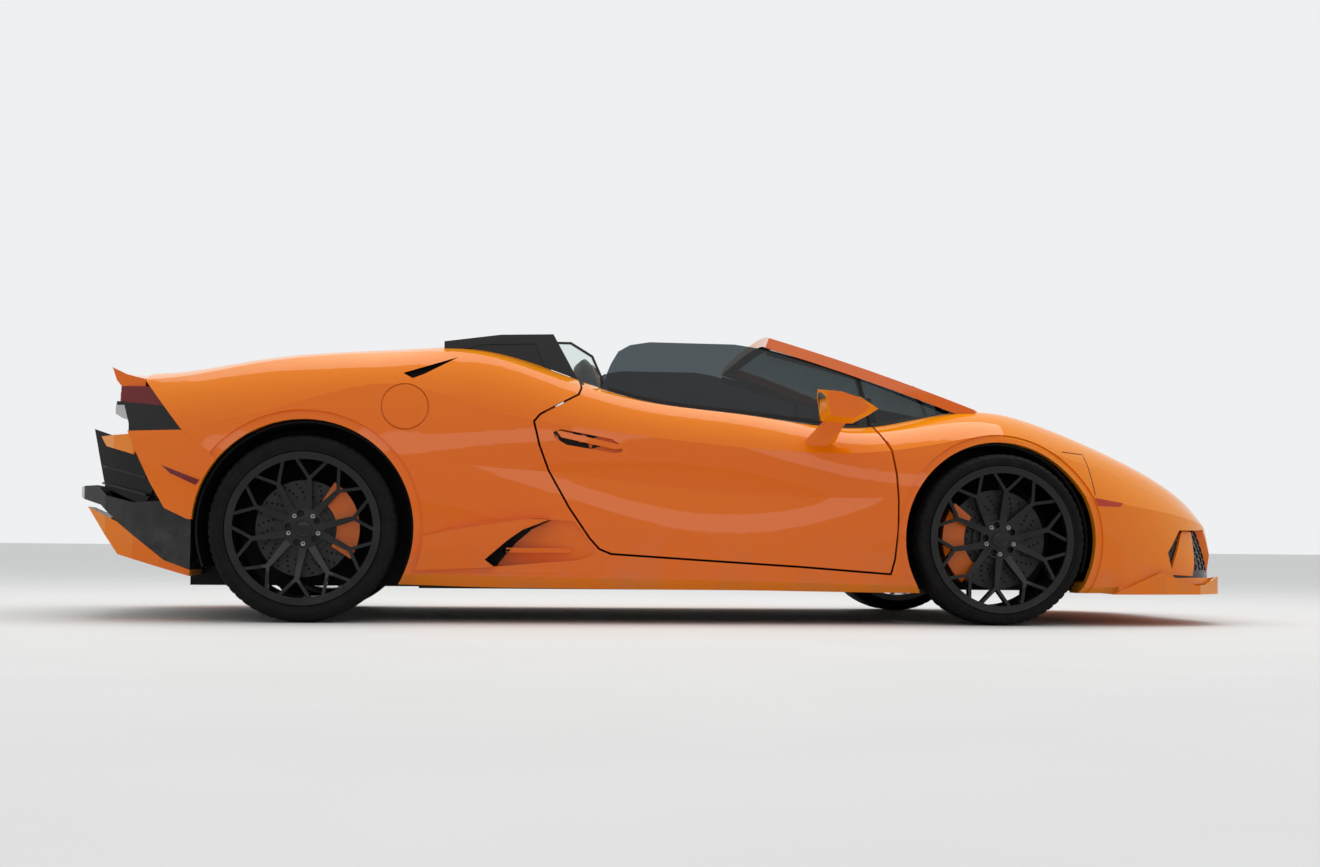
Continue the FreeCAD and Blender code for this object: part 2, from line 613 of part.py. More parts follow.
def body_panels():
    """Every painted panel, cut from one body of constant wall."""
    outer = body_solid()
    inner = body_solid(WALL)
    right = outer.common(half_box(-FAR_X, FAR_X, 0, FAR_UP))
    thin = right.cut(inner).cut(wells())
    door = side_prism(door_outline(), -FAR_Y, -DOOR_IN_Y)
    door_hole = side_prism(grown(door_outline(), SHUT_GAP), -FAR_Y, -560)
    bonnet = plan_prism(bonnet_outline(), 380, 1200)
    bonnet_hole = plan_prism(grown(bonnet_outline(), SHUT_GAP), 380, 1200)
    deck = plan_prism(deck_outline(), 700, PAST_TOP)
    deck_hole = plan_prism(grown(deck_outline(), SHUT_GAP), 700, PAST_TOP)
    cockpit = plan_prism(COCKPIT + [(x, -y) for x, y in reversed(COCKPIT)], FAR_DOWN, PAST_TOP)
    underside = box(-FAR_X, TUB_FRONT_X + CLEAR, -TUB_HALF - CLEAR, TUB_HALF, FAR_DOWN, 420)
    rest = thin.cut([door_hole, bonnet_hole, deck_hole, cockpit, underside])
    sill = side_prism(SILL, -FAR_Y, -600)
    sill_hole = side_prism(grown(SILL, SEAM_GAP), -FAR_Y, -600)
    bumper = side_prism(BUMPER, -FAR_Y, 0)
    bumper_hole = side_prism(grown(BUMPER, SEAM_GAP), -FAR_Y, 0)
    lamp = plan_prism(LAMP_PLAN_FRONT, 300, 1000)
    lamp_hole = plan_prism(grown(LAMP_PLAN_FRONT, SEAM_GAP), 300, 1000)
    front_lip, rear_lip = arch_lips(outer)
    panels = {}
    nose = rest.common(bumper).common(half_box(FRONT_AXLE_X, FAR_X, 0, 1000))
    panels["front_bumper"] = front_bumper(largest(nose), outer).cut(front_lip)
    panels["headlamps"] = rest.common(lamp).cut(bumper_hole)
    fender = rest.common(half_box(700, FENDER_FRONT_X, 0, 1000))
    panels["front_fenders"] = fender.cut([bumper_hole, sill_hole, lamp_hole, door_relief(), front_lip])
    panels["side_sills"] = rest.common(sill).cut([front_lip, rear_lip])
    tail_outline = [(-200, PAST_TOP), (SPOILER_FRONT_X + SEAM_GAP, PAST_TOP)] + TAIL_CUT + [(-200, FAR_DOWN)]
    tail = side_prism(tail_outline, -FAR_Y, 0)
    tail_hole = side_prism(grown(tail_outline, SEAM_GAP), -FAR_Y, 0)
    quarter = rest.common(tail).cut([sill_hole, box(-FAR_X, 0, -700, 0, FAR_DOWN, 600)])
    panels["rear_quarters"] = rear_quarter(largest(quarter), outer, [sill_hole, door_hole]).cut(rear_lip)
    panels["rear_bumper"] = rest.common(side_prism(BUMPER_SIDE, -FAR_Y, 0)).cut(tail_hole)
    door_rows = [row for row in SECTIONS if -1100 < row[0] < FRONT_AXLE_X + 1]
    door_core = Part.makeLoft([section_wire(row, DOOR_WALL) for row in door_rows], True, False)
    shell = largest(right.common(door).cut(door_core)).cut(door_step())
    panels["door_right"] = door_handle(largest(shell), outer)
    lids = outer.cut(inner)
    panels["bonnet"] = lids.common(bonnet)
    panels["engine_cover"] = louvred(lids.common(deck), outer)
    return outer, panels


def sunk(shape, outer, depth):
    """The outermost layer of a shape, down to a depth measured across the car."""
    return shape.cut(outer.translated(Vec(0, depth, 0)))


def arch_lips(outer):
    """The shallow step round each wheel arch, as cutters."""
    front = cylinder_y(FRONT_AXLE_X, FRONT_TYRE_R, FRONT_ARCH_R + FRONT_LIP_W, -FAR_Y, -WELL_INNER_Y)
    rear = cylinder_y(REAR_AXLE_X, REAR_TYRE_R, REAR_ARCH_R + REAR_LIP_W, -FAR_Y, -WELL_INNER_Y)
    return sunk(front, outer, ARCH_LIP_DEPTH), sunk(rear, outer, ARCH_LIP_DEPTH)


def front_bumper(nose, outer):
    """The right half of the bumper with its open side intake, vane and splitter."""
    splitter = plan_prism(SPLITTER, SPLITTER_Z0, SPLITTER_Z1)
    fence = side_prism(FENCE, -PAST_Y, 0).common(plan_prism(FENCE_PLAN, 100, 400))
    mouth = side_prism(NOSE_INTAKE, -NOSE_INTAKE_OUT_Y, -NOSE_INTAKE_IN_Y)
    return nose.cut(mouth).fuse([splitter, fence, nose_vane(outer)])


def nose_vane(outer):
    return side_prism(NOSE_VANE, -NOSE_VANE_OUT_Y, -NOSE_VANE_IN_Y).common(outer)


def front_grille():
    """The dark panel behind the nose intake, resting on the bumper's inner face."""
    gap = WALL + GRILLE_GAP
    layer = body_solid(gap).cut(body_solid(gap + GRILLE_T))
    reach = side_prism(grown(NOSE_INTAKE, GRILLE_LAP), -NOSE_INTAKE_OUT_Y - GRILLE_LAP,
                       -NOSE_INTAKE_IN_Y + GRILLE_LAP)
    vane_room = side_prism(grown(NOSE_VANE, CLEAR), -NOSE_VANE_OUT_Y - CLEAR, -NOSE_VANE_IN_Y + CLEAR)
    return largest(layer.common(reach).cut(vane_room))


def rear_quarter(quarter, outer, rooms):
    """The right-hand rear wing with its sunk intake, the blade over it and the deck slot."""
    backing = plan_prism(INTAKE_BACK_PLAN, INTAKE_LOW_Z, INTAKE_HIGH_Z)
    block = side_prism(grown(INTAKE, INTAKE_BACKING), -PAST_Y, -DOOR_IN_Y).common(backing)
    block = block.common(outer).cut(rooms)
    scoop = side_prism(INTAKE, -PAST_Y, -INTAKE_FLOOR_Y)
    scoop = scoop.common(plan_prism(INTAKE_FLOOR_PLAN, INTAKE_LOW_Z, INTAKE_HIGH_Z))
    vane = side_prism(INTAKE_VANE, -INTAKE_VANE_Y, -700).common(backing)
    blade = side_prism(SIDE_BLADE, -PAST_Y, -SIDE_BLADE_IN_Y)
    blade = blade.common(plan_prism(SIDE_BLADE_PLAN, INTAKE_LOW_Z, INTAKE_HIGH_Z)).cut(wells())
    slot = sunk(side_prism(DECK_SLOT, -FAR_Y, -QUARTER_IN_Y), outer, DECK_SLOT_DEPTH)
    return quarter.fuse(block).cut([scoop, slot]).fuse([vane, blade])


def door_handle(door, outer):
    """The door with its flush pull handle in a pocket."""
    pocket = sunk(side_prism(HANDLE_POCKET, -PAST_Y, -DOOR_IN_Y), outer, HANDLE_DEPTH)
    bar_strip = sunk(side_prism(HANDLE_BAR, -PAST_Y, -DOOR_IN_Y).common(outer), outer, HANDLE_BAR_T)
    return door.cut(pocket).fuse(largest(bar_strip))


def louvred(cover, outer):
    """The engine cover with its row of sunk louvres."""
    slots = []
    for k in range(LOUVRE_COUNT):
        x = LOUVRE_FRONT_X - k * LOUVRE_PITCH
        slots.append(box(x - LOUVRE_W, x, -LOUVRE_HALF, LOUVRE_HALF, LOUVRE_LOW_Z, LOUVRE_TOP_Z))
    return cover.cut(Part.makeCompound(slots).cut(outer.translated(Vec(0, 0, -LOUVRE_DEPTH))))


def door_hinge(level):
    """One gooseneck leaf with its pin, and the room for it in the door."""
    x, y = DOOR_HINGE_X, -DOOR_HINGE_Y
    half = HINGE_ARM_W / 2
    elbow = -HINGE_POST_Y + 48
    low, high = level - HINGE_LEAF_H / 2, level + HINGE_LEAF_H / 2
    arm = plan_prism([(x - half, y), (x - half, elbow + half), (HINGE_POST_X + 10, elbow + half),
                      (HINGE_POST_X + 10, elbow - half), (x + half, elbow - half), (x + half, y)], low, high)
    eye = Part.makeCylinder(HINGE_EYE_R, HINGE_LEAF_H, Vec(x, y, low))
    pin = Part.makeCylinder(HINGE_PIN_R, HINGE_LEAF_H + 60, Vec(x, y, low - 30))
    gap = HINGE_SLOT_GAP
    room_low, room_high = low - gap, high + gap
    sweep = plan_prism([(x - half - gap, y), (x - half - gap, -600), (900, -600), (900, y + 42),
                        (x + 6, y - 6)],
                       room_low, room_high)
    round_room = Part.makeCylinder(HINGE_EYE_R + gap, room_high - room_low, Vec(x, y, room_low))
    bore = Part.makeCylinder(HINGE_PIN_R + CLEAR, HINGE_LEAF_H + 62, Vec(x, y, low - 31))
    return [arm, eye, pin], [sweep, round_room, bore]


def lid_hinge(x, z, y, foot, way):
    """Bracket and pin of one lid hinge, and the room for them in the lid."""
    top, half = z + LID_PIN_R + 1, LID_BRACKET_HALF
    bracket = side_prism([(x - half, top), (x + half, top)] + foot, y - half, y + half)
    pin = cylinder_y(x, z, LID_PIN_R, y - LID_PIN_HALF, y + LID_PIN_HALF)
    gap = HINGE_SLOT_GAP
    near, far = x - way * (half + gap), x + way * 160
    notch = side_prism([(near, top + gap), (near, z - 240), (far, z - 240), (far, top + gap)],
                       y - half - gap, y + half + gap)
    bore = cylinder_y(x, z, LID_PIN_R + CLEAR, y - LID_PIN_HALF - 2, y + LID_PIN_HALF + 2)
    return [bracket, pin], [notch, bore]


def bonnet_hinge(side):
    """The hinge on the front wheelhouse, open to the rear."""
    x, half = BONNET_HINGE_X, LID_BRACKET_HALF
    foot = [(x + half, BONNET_FOOT_Z), (x - half, BONNET_FOOT_Z)]
    return lid_hinge(x, BONNET_HINGE_Z, side * BONNET_HINGE_Y, foot, -1)


def deck_hinge(side):
    """The hinge on the tub's rear wall, open to the rear."""
    x, half = DECK_HINGE_X, LID_BRACKET_HALF
    foot = [(x + half, 850), (-1815, 640), (-1815, 560), (-1839, 560), (x - half, 815)]
    return lid_hinge(x, DECK_HINGE_Z, side * DECK_HINGE_Y, foot, -1)


def fuel_flap(outer, quarter):
    """The round filler flap on the right-hand rear wing, and its seat."""
    seat = cylinder_y(FLAP_X, FLAP_Z, FLAP_R + FLAP_GAP, -FAR_Y, -FLAP_IN_Y).common(outer)
    flap = cylinder_y(FLAP_X, FLAP_Z, FLAP_R, -FAR_Y, -FLAP_IN_Y).common(outer)
    seat = seat.cut(seat.translated(Vec(0, FLAP_T + CLEAR, 0)))
    flap = flap.cut(flap.translated(Vec(0, FLAP_T, 0)))
    return largest(flap), largest(quarter.cut(largest(seat)))


def tyre(radius, width, centre):
    """A low-profile tyre, its beads inside the rim's flanges."""
    half = width / 2
    bead = RIM_SEAT_R + CLEAR
    flange = half - 13 - CLEAR
    side = [(bead, flange), (RIM_LIP_R + 1.5, flange), (RIM_LIP_R + 5, half - 5),
            (radius - 34, half), (radius - 14, half - 6), (radius - 4, half - 20), (radius, half - 46)]
    profile = side + [(r, -y) for r, y in reversed(side)]
    return turned(profile, centre)


def bar(r0, a0, r1, a1, w0, w1, centre, y):
    """A tapered flat bar in the wheel's plane, between two polar points."""
    p = Vec(r0 * math.cos(a0), 0, r0 * math.sin(a0))
    q = Vec(r1 * math.cos(a1), 0, r1 * math.sin(a1))
    along = (q - p).normalize()
    across = Vec(-along.z, 0, along.x)
    base = centre + Vec(0, y, 0)
    points = [base + p + across * (w0 / 2), base + q + across * (w1 / 2),
              base + q - across * (w1 / 2), base + p - across * (w0 / 2)]
    return polygon_face(points)


def spoke_star(centre, y, depth):
    """Five roots, each parting into two stems that fork once more at the rim."""
    faces = []
    for k in range(SPOKE_PAIRS):
        root = math.radians(SPOKE_TURN + 72 * k)
        for hand in (-1, 1):
            knee = root + hand * math.radians(18)
            faces.append(bar(SPOKE_ROOT_R, root + hand * math.radians(6), SPOKE_KNEE_R, knee,
                             30, STEM_W, centre, y))
            for fork in (-1, 1):
                tip = knee + fork * math.radians(FORK_SPREAD)
                faces.append(bar(SPOKE_KNEE_R - 4, knee, RIM_SEAT_R - 2, tip, FORK_W, FORK_W, centre, y))
    whole = faces[0].fuse(faces[1:])
    return whole.extrude(Vec(0, depth, 0))


def rim(width, centre, out):
    """A forked ten-spoke rim. out is the sign of Y on the wheel's outer side."""
    half = width / 2
    barrel_profile = [(RIM_SEAT_R, -half + 13), (RIM_LIP_R, -half + 13), (RIM_LIP_R, -half + 5),
                      (RIM_SEAT_R - RIM_WALL, -half + 5), (RIM_SEAT_R - RIM_WALL, half - 5),
                      (RIM_LIP_R, half - 5), (RIM_LIP_R, half - 13), (RIM_SEAT_R, half - 13)]
    barrel = turned(barrel_profile, centre)
    face_y = half - 14
    star = spoke_star(centre, out * (face_y - SPOKE_DEPTH), out * SPOKE_DEPTH)
    dish = turned([(0, out * (face_y - HUB_DEPTH)), (HUB_R + 40, out * (face_y - HUB_DEPTH)),
                   (RIM_SEAT_R, out * (face_y - 30)), (RIM_SEAT_R, out * face_y),
                   (200, out * (face_y - 6)), (HUB_R, out * (face_y - 34)), (0, out * (face_y - 34))],
                  centre)
    star = star.common(dish)
    hub = turned([(HUB_BORE_R, out * (face_y - HUB_DEPTH)), (HUB_R, out * (face_y - HUB_DEPTH)),
                  (HUB_R, out * (face_y - 34)), (HUB_BORE_R, out * (face_y - 30))], centre)
    whole = barrel.fuse([star, hub])
    bolts = []
    for k in range(SPOKE_PAIRS):
        angle = math.radians(SPOKE_TURN + 36 + 72 * k)
        x = centre.x + BOLT_CIRCLE_R * math.cos(angle)
        z = centre.z + BOLT_CIRCLE_R * math.sin(angle)
        bolts.append(cylinder_y(x, z, BOLT_HOLE_R, centre.y - half, centre.y + half))
    bore = cylinder_y(centre.x, centre.z, HUB_BORE_R, centre.y - half, centre.y + half)
    return largest(whole.cut(bolts + [bore]))


def disc(radius, centre, out, hub_y, ring_y):
    """A brake disc with its bell. hub_y and ring_y are distances from the centre."""
    ring = [(DISC_BELL_R, ring_y), (radius, ring_y), (radius, ring_y - DISC_T),
            (DISC_BELL_R - 12, ring_y - DISC_T),
            (DISC_BELL_R - 12, hub_y - 10), (HUB_BORE_R, hub_y - 10), (HUB_BORE_R, hub_y),
            (DISC_BELL_R, hub_y)]
    return turned([(r, out * y) for r, y in ring], centre)


def sector(centre, r0, r1, a0, a1, y0, y1):
    """A block of a ring about the wheel axis, between two angles in degrees."""
    arc_points = []
    for r, first, last in ((r1, a0, a1), (r0, a1, a0)):
        for t in (0.0, 0.5, 1.0):
            angle = math.radians(first + (last - first) * t)
            arc_points.append(centre + Vec(r * math.cos(angle), y0, r * math.sin(angle)))
    a, b, c, d, e, f = arc_points
    edges = [Part.Arc(a, b, c).toShape(), Part.makeLine(c, d), Part.Arc(d, e, f).toShape(),
             Part.makeLine(f, a)]
    return Part.Face(Part.Wire(edges)).extrude(Vec(0, y1 - y0, 0))


def upright(centre, out, stub_y, ring_y, disc_r, angles, ball_y):
    """A wheel carrier with its stub axle and brake caliper, as one solid."""
    plate_out = ring_y - DISC_T - DISC_GAP
    plate_in = plate_out - UPRIGHT_DEPTH
    x, z = centre.x, centre.z
    lo, hi = sorted((centre.y + out * plate_in, centre.y + out * plate_out))
    reach_z = BALL_Z - BOSS_H
    plate = box(x - UPRIGHT_HALF, x + UPRIGHT_HALF, lo, hi, z - reach_z, z + reach_z)
    boss = Part.makeCylinder(BOSS_R, 2 * BALL_Z, Vec(x, out * abs(ball_y), z - BALL_Z))
    stub = cylinder_y(x, z, HUB_BORE_R - CLEAR, centre.y + out * plate_in, centre.y + out * stub_y)
    a0, a1 = angles
    body = sector(centre, disc_r - 60, disc_r + 24, a0, a1, out * (plate_in + 10),
                  out * (ring_y + CALIPER_COVER))
    slot = turned([(0, out * (ring_y - DISC_T - 3)), (disc_r + 4, out * (ring_y - DISC_T - 3)),
                   (disc_r + 4, out * (ring_y + 3)), (0, out * (ring_y + 3))], centre)
    body = body.cut(slot)
    reach = disc_r - 40
    lug = sector(centre, 20, reach, (a0 + a1) / 2 - 14, (a0 + a1) / 2 + 14,
                 out * (plate_in + 12), out * (plate_in + 42))
    return largest(plate.fuse([boss, stub, body, lug]))


def rod(p, q, radius):
    axis = q - p
    return Part.makeCylinder(radius, axis.Length, p, axis)


def wishbones(axle_x, centre_z, ball_y, inner_y, spread):
    """Upper and lower arms of one corner, right-hand side."""
    arms = []
    for z in (centre_z + BALL_Z + CLEAR + 14, centre_z - BALL_Z - CLEAR - 14):
        ball = Vec(axle_x, -ball_y, z)
        legs = [rod(ball, Vec(axle_x + dx, 60 - inner_y, z), ARM_R) for dx in (-spread, spread)]
        eye = Part.makeCylinder(20, 28, ball - Vec(0, 0, 14))
        frame = box(axle_x - 400, axle_x + 400, -inner_y, 0, 0, 900)
        arms.append(largest(eye.fuse(legs).cut(frame)))
    return arms


def wheel_set(panels):
    """Tyres, rims, discs and wheel carriers for the four corners."""
    specs = [("front", FRONT_AXLE_X, FRONT_TYRE_R, FRONT_TYRE_W, FRONT_FACE_Y, FRONT_DISC_R, (140, 230)),
             ("rear", REAR_AXLE_X, REAR_TYRE_R, REAR_TYRE_W, REAR_FACE_Y, REAR_DISC_R, (-33, 58))]
    for name, x, r, w, face, disc_r, angles in specs:
        centre = Vec(x, -(face - w / 2), r)
        hub_y = w / 2 - 14 - HUB_DEPTH - CLEAR
        ring_y = hub_y - DISC_OFFSET
        pieces = {"tyre": tyre(r, w, centre), "rim": rim(w, centre, -1),
                  "disc": disc(disc_r, centre, -1, hub_y, ring_y)}
        ball_y = KINGPIN_Y if name == "front" else REAR_BALL_Y
        carrier = upright(centre, -1, w / 2 - 50, ring_y, disc_r, angles, ball_y)
        for piece, shape in pieces.items():
            panels[piece + "_" + name + "_right"] = shape
            panels[piece + "_" + name + "_left"] = mirrored(shape)
        if name == "front":
            panels["knuckle_right"] = carrier
            panels["knuckle_left"] = mirrored(carrier)
        else:
            panels["rear_uprights"] = both_sides(carrier)
            carrier_in = carrier.BoundBox.YMax + CLEAR
    arms = wishbones(FRONT_AXLE_X, FRONT_TYRE_R, KINGPIN_Y, FRAME_Y, ARM_SPREAD)
    arms += wishbones(REAR_AXLE_X, REAR_TYRE_R, REAR_BALL_Y, FRAME_Y, ARM_SPREAD)
    arms.append(rod(Vec(REAR_AXLE_X, carrier_in, REAR_TYRE_R), Vec(REAR_AXLE_X, -FRAME_Y, REAR_TYRE_R),
                    SHAFT_R))
    panels["suspension_arms"] = both_sides(Part.makeCompound(arms))


def wheelhouses():
    """Arched liners over the wheels, each with its inner wall. The front ones carry the bonnet."""
    parts = []
    for x, z, arch_r in ((FRONT_AXLE_X, FRONT_TYRE_R, FRONT_ARCH_R), (REAR_AXLE_X, REAR_TYRE_R, REAR_ARCH_R)):
        outer_r = arch_r - LINER_CLEAR
        around = box(x - HOUSE_REACH, x + HOUSE_REACH, -PAST_Y, PAST_Y, LINER_LOW_Z, PAST_TOP)
        opening = box(x - ARM_ROOM, x + ARM_ROOM, -PAST_Y, PAST_Y, 0, z + ARM_ROOM)
        for side in (-1, 1):
            wall_in, wall_out = side * FRAME_Y, side * (FRAME_Y + HOUSE_WALL_T)
            y0, y1 = side * (FRAME_Y + HOUSE_WALL_T + CLEAR), side * LINER_OUT_Y
            ring = cylinder_y(x, z, outer_r, y0, y1).cut(cylinder_y(x, z, outer_r - LINER_WALL, y0, y1))
            ring = ring.common(around)
            if x > 0:
                ring = ring.fuse(bonnet_hinge(side)[0])
            parts.append(largest(ring))
            wall = cylinder_y(x, z, outer_r, wall_in, wall_out)
            parts.append(largest(wall.common(around).cut(opening)))
    return Part.makeCompound(parts)


def scuttle(frame_under):
    """The wall under the windscreen's base and the open cowl ahead of it."""
    low = plan_prism(SCUTTLE_REAR + SCUTTLE_FRONT, SCUTTLE_Z, COWL_Z)
    high = plan_prism(SCUTTLE_REAR + SCUTTLE_MID, COWL_Z - WALL, SCUTTLE_TOP_Z)
    house_room = cylinder_y(FRONT_AXLE_X, FRONT_TYRE_R, FRONT_ARCH_R - LINER_CLEAR + CLEAR, -PAST_Y,
                            CLEAR - FRAME_Y)
    half = low.fuse(largest_below(high.cut(frame_under))).cut(house_room)
    return fused([half, mirrored(half)])


def largest_below(shape):
    return min(shape.Solids, key=lambda solid: solid.CenterOfMass.z)


def chassis_tub(frame_under):
    """Floor, sill boxes, bulkheads, luggage well and rear frame."""
    top = FLOOR_Z + FLOOR_T
    floor = plan_prism([(TUB_REAR_X, -480), (-960, -480), (-960, -TUB_HALF), (820, -TUB_HALF), (820, -480),
                        (TUB_FRONT_X, -480), (TUB_FRONT_X, 480), (820, 480), (820, TUB_HALF),
                        (-960, TUB_HALF),
                        (-960, 480), (TUB_REAR_X, 480)], FLOOR_Z, top)
    parts = [floor]
    for side in (-1, 1):
        for x0, x1, near, far, foot, height in TUB_WALLS:
            y0, y1 = sorted((side * near, side * far))
            parts.append(box(x0, x1, y0, y1, foot, height))
        for level in HINGE_LEVELS:
            leaf, _ = door_hinge(level)
            leaf = Part.makeCompound(leaf)
            parts += solids_of(leaf if side < 0 else mirrored(leaf))
        parts += deck_hinge(side)[0]
    for x0, x1, half, height in TUB_BULKHEADS:
        parts.append(box(x0, x1, -half, half, FLOOR_Z, height))
    parts.append(scuttle(frame_under))
    return largest(fused(parts))


def screen_skin(grow):
    """The curved face of the glass, or of the wider frame round it."""
    arcs = []
    for side_x, y, side_z, mid_x, mid_z, side_dx, side_dz, mid_dx, mid_dz in SCREEN_ROWS:
        x, z = side_x + grow * side_dx, side_z + grow * side_dz
        middle = Vec(mid_x + grow * mid_dx, 0, mid_z + grow * mid_dz)
        arcs.append(Part.Wire([Part.Arc(Vec(x, -y - grow, z), middle, Vec(x, y + grow, z)).toShape()]))
    return Part.makeLoft(arcs, False, False).Faces[0]


def windscreen(fender):
    """A raked glass in a painted ring of pillars, header and base."""
    glass = screen_skin(0).extrude(SCREEN_NORMAL * WS_GLASS_T)
    top = WS_GLASS_T + WS_FRAME_PROUD
    ring = screen_skin(WS_FRAME_W).extrude(SCREEN_NORMAL * -WS_FRAME_T)
    ring.translate(SCREEN_NORMAL * top)
    hole = screen_skin(2 * CLEAR).extrude(SCREEN_NORMAL * -2 * SCREEN_REACH)
    hole.translate(SCREEN_NORMAL * SCREEN_REACH)
    above = screen_skin(WS_FRAME_W).extrude(SCREEN_NORMAL * 4 * SCREEN_REACH)
    above.translate(SCREEN_NORMAL * (top - WS_FRAME_T - CLEAR))
    seat = fender.translated(Vec(0, 0, CLEAR))
    ring = ring.cut([hole, seat, mirrored(seat)])
    return glass, largest(ring), above


def glass_slab():
    """The plane of the side windows, leaning in towards the pillar."""
    lean = math.degrees(math.atan2(GLASS_TOP_Z - GLASS_LOW_Z, GLASS_LOW_Y - GLASS_TOP_Y))
    slab = Part.makeBox(SLAB_LENGTH, SLAB_WIDTH, GLASS_T,
                        Vec(-SLAB_LENGTH / 2, -SLAB_WIDTH / 2, -GLASS_T / 2))
    slab.rotate(Vec(0, 0, 0), Vec(1, 0, 0), lean)
    slab.translate(Vec(0, -(GLASS_LOW_Y + GLASS_TOP_Y) / 2, (GLASS_LOW_Z + GLASS_TOP_Z) / 2))
    slab.rotate(Vec(0, -GLASS_LOW_Y, 0), Vec(0, 0, 1), GLASS_TOE)
    return slab


def side_glass(door, frame):
    """The door's raised window, clear of the pillar."""
    shifts = (Vec(0, 0, -PILLAR_GAP), Vec(0, -PILLAR_GAP, 0), Vec(-PILLAR_GAP, 0, 0))
    pillar = [frame.translated(shift) for shift in shifts]
    pane = glass_slab().common(side_prism(GLASS_OUTLINE, -PAST_Y, -GLASS_IN_Y))
    seat = [door.translated(Vec(0, 0, CLEAR)), door.translated(Vec(CLEAR, 0, 0))]
    return largest(pane.cut(seat[0]).cut(seat[1]).cut(pillar))


def quarter_glass(door, frame, fender):
    """The fixed three-cornered window between pillar and wing."""
    pane = glass_slab().common(side_prism(QUARTER_OUTLINE, -PAST_Y, -GLASS_IN_Y))
    shifts = (Vec(0, 0, -QUARTER_GAP), Vec(0, -QUARTER_GAP, 0), Vec(-QUARTER_GAP, 0, 0))
    pane = pane.cut(door.translated(Vec(0, 0, QUARTER_LIFT))).cut(fender.translated(Vec(0, 0, QUARTER_GAP)))
    return largest(pane.cut([frame.translated(shift) for shift in shifts]))


def mirror(door):
    """A door mirror on its stalk."""
    rows = [(-y, MIRROR_ROWS[y]) for y in sorted(MIRROR_ROWS, reverse=True)]
    wires = [Part.makePolygon([Vec(x, y, z) for x, z in pts + [pts[0]]]) for y, pts in rows]
    head = Part.makeLoft(wires, True, True)
    foot = [(-MIRROR_FOOT_OUT_Y, MIRROR_FOOT_TOP), (-MIRROR_FOOT_IN_Y, MIRROR_FOOT_LOW)]
    wires = [Part.makePolygon([Vec(x, y, z) for x, z in pts + [pts[0]]]) for y, pts in foot]
    stalk = Part.makeLoft(wires, True, True)
    return largest(head.fuse(stalk).cut([door, door.translated(Vec(0, -CLEAR, 0))]))


def seat():
    """A bucket seat: cushion, backrest and side bolsters, right-hand side."""
    y0, y1 = -SEAT_Y - SEAT_HALF, -SEAT_Y + SEAT_HALF
    solid = side_prism(SEAT_OUTLINE, y0, y1)
    dish = side_prism(SEAT_DISH, -SEAT_Y - SEAT_DISH_HALF, -SEAT_Y + SEAT_DISH_HALF)
    front = [(-SEAT_Y + side * half, z) for side, half, z in (
        (-1, SEAT_HALF, 100), (1, SEAT_HALF, 100), (1, SEAT_HALF, 740), (1, SEAT_HEAD_HALF, 900),
        (1, SEAT_HEAD_HALF, 1100), (-1, SEAT_HEAD_HALF, 1100), (-1, SEAT_HEAD_HALF, 900),
        (-1, SEAT_HALF, 740))]
    return largest(solid.cut(dish).common(cross_prism(front, -600, 400)))


def dashboard():
    """Dash top, console and tunnel in one moulding, with the column stub."""
    dash = side_prism(DASH_OUTLINE, -DASH_HALF, DASH_HALF)
    console = side_prism(CONSOLE_OUTLINE, -CONSOLE_HALF, CONSOLE_HALF)
    rake = math.radians(STEERING_RAKE)
    axis = Vec(math.cos(rake), 0, -math.sin(rake))
    start = Vec(STEERING_X, STEERING_Y, STEERING_Z) + axis * (STEERING_HUB_T / 2 + CLEAR)
    column = Part.makeCylinder(COLUMN_R, COLUMN_LENGTH, start, axis)
    shroud = side_prism(SHROUD_OUTLINE, STEERING_Y - SHROUD_HALF, STEERING_Y + SHROUD_HALF)
    shelf = plan_prism(DASH_TOP + [(x, -y) for x, y in reversed(DASH_TOP[:-1])], DASH_TOP_Z - DASH_TOP_T,
                       DASH_TOP_Z)
    return largest(dash.fuse([console, column, shroud, shelf]))


def steering_wheel():
    centre = Vec(STEERING_X, STEERING_Y, STEERING_Z)
    ring = Part.makeTorus(STEERING_R - STEERING_GRIP_R, STEERING_GRIP_R, centre, Vec(1, 0, 0))
    hub = Part.makeCylinder(52, STEERING_HUB_T, centre - Vec(STEERING_HUB_T / 2, 0, 0), Vec(1, 0, 0))
    parts = [ring, hub]
    for angle in (0, 180, 270):
        spoke = Part.makeBox(12, STEERING_R - 24, 34, Vec(centre.x - 6, centre.y, centre.z - 17))
        spoke.rotate(centre, Vec(1, 0, 0), angle)
        parts.append(spoke)
    wheel = parts[0].fuse(parts[1:])
    wheel.rotate(centre, Vec(0, 1, 0), STEERING_RAKE)
    return largest(wheel)


def deck_fin(outer):
    """The black buttress behind one seat, standing on the rear wing, and its framed pane."""
    fin = side_prism(FIN_OUTLINE, -FIN_OUT_Y, -FIN_IN_Y)
    recess = side_prism(FIN_RECESS, -FIN_OUT_Y - 1, -FIN_OUT_Y + FIN_RECESS_DEPTH)
    half, glass_half = PANE_T / 2, PANE_GLASS_T / 2
    frame = side_prism(PANE_OUTLINE, -PANE_Y - half, -PANE_Y + half)
    frame = frame.cut(side_prism(grown(PANE_OUTLINE, -PANE_FRAME), -PANE_Y - half, -PANE_Y + half))
    fin = largest(fin.fuse(frame).cut([recess, outer.translated(Vec(0, 0, 2 * CLEAR))]))
    pane = side_prism(grown(PANE_OUTLINE, -PANE_FRAME - CLEAR), -PANE_Y - glass_half, -PANE_Y + glass_half)
    solid_fin = side_prism(grown(FIN_OUTLINE, CLEAR), -FIN_OUT_Y, -FIN_IN_Y)
    return fin, largest(pane.cut(solid_fin))


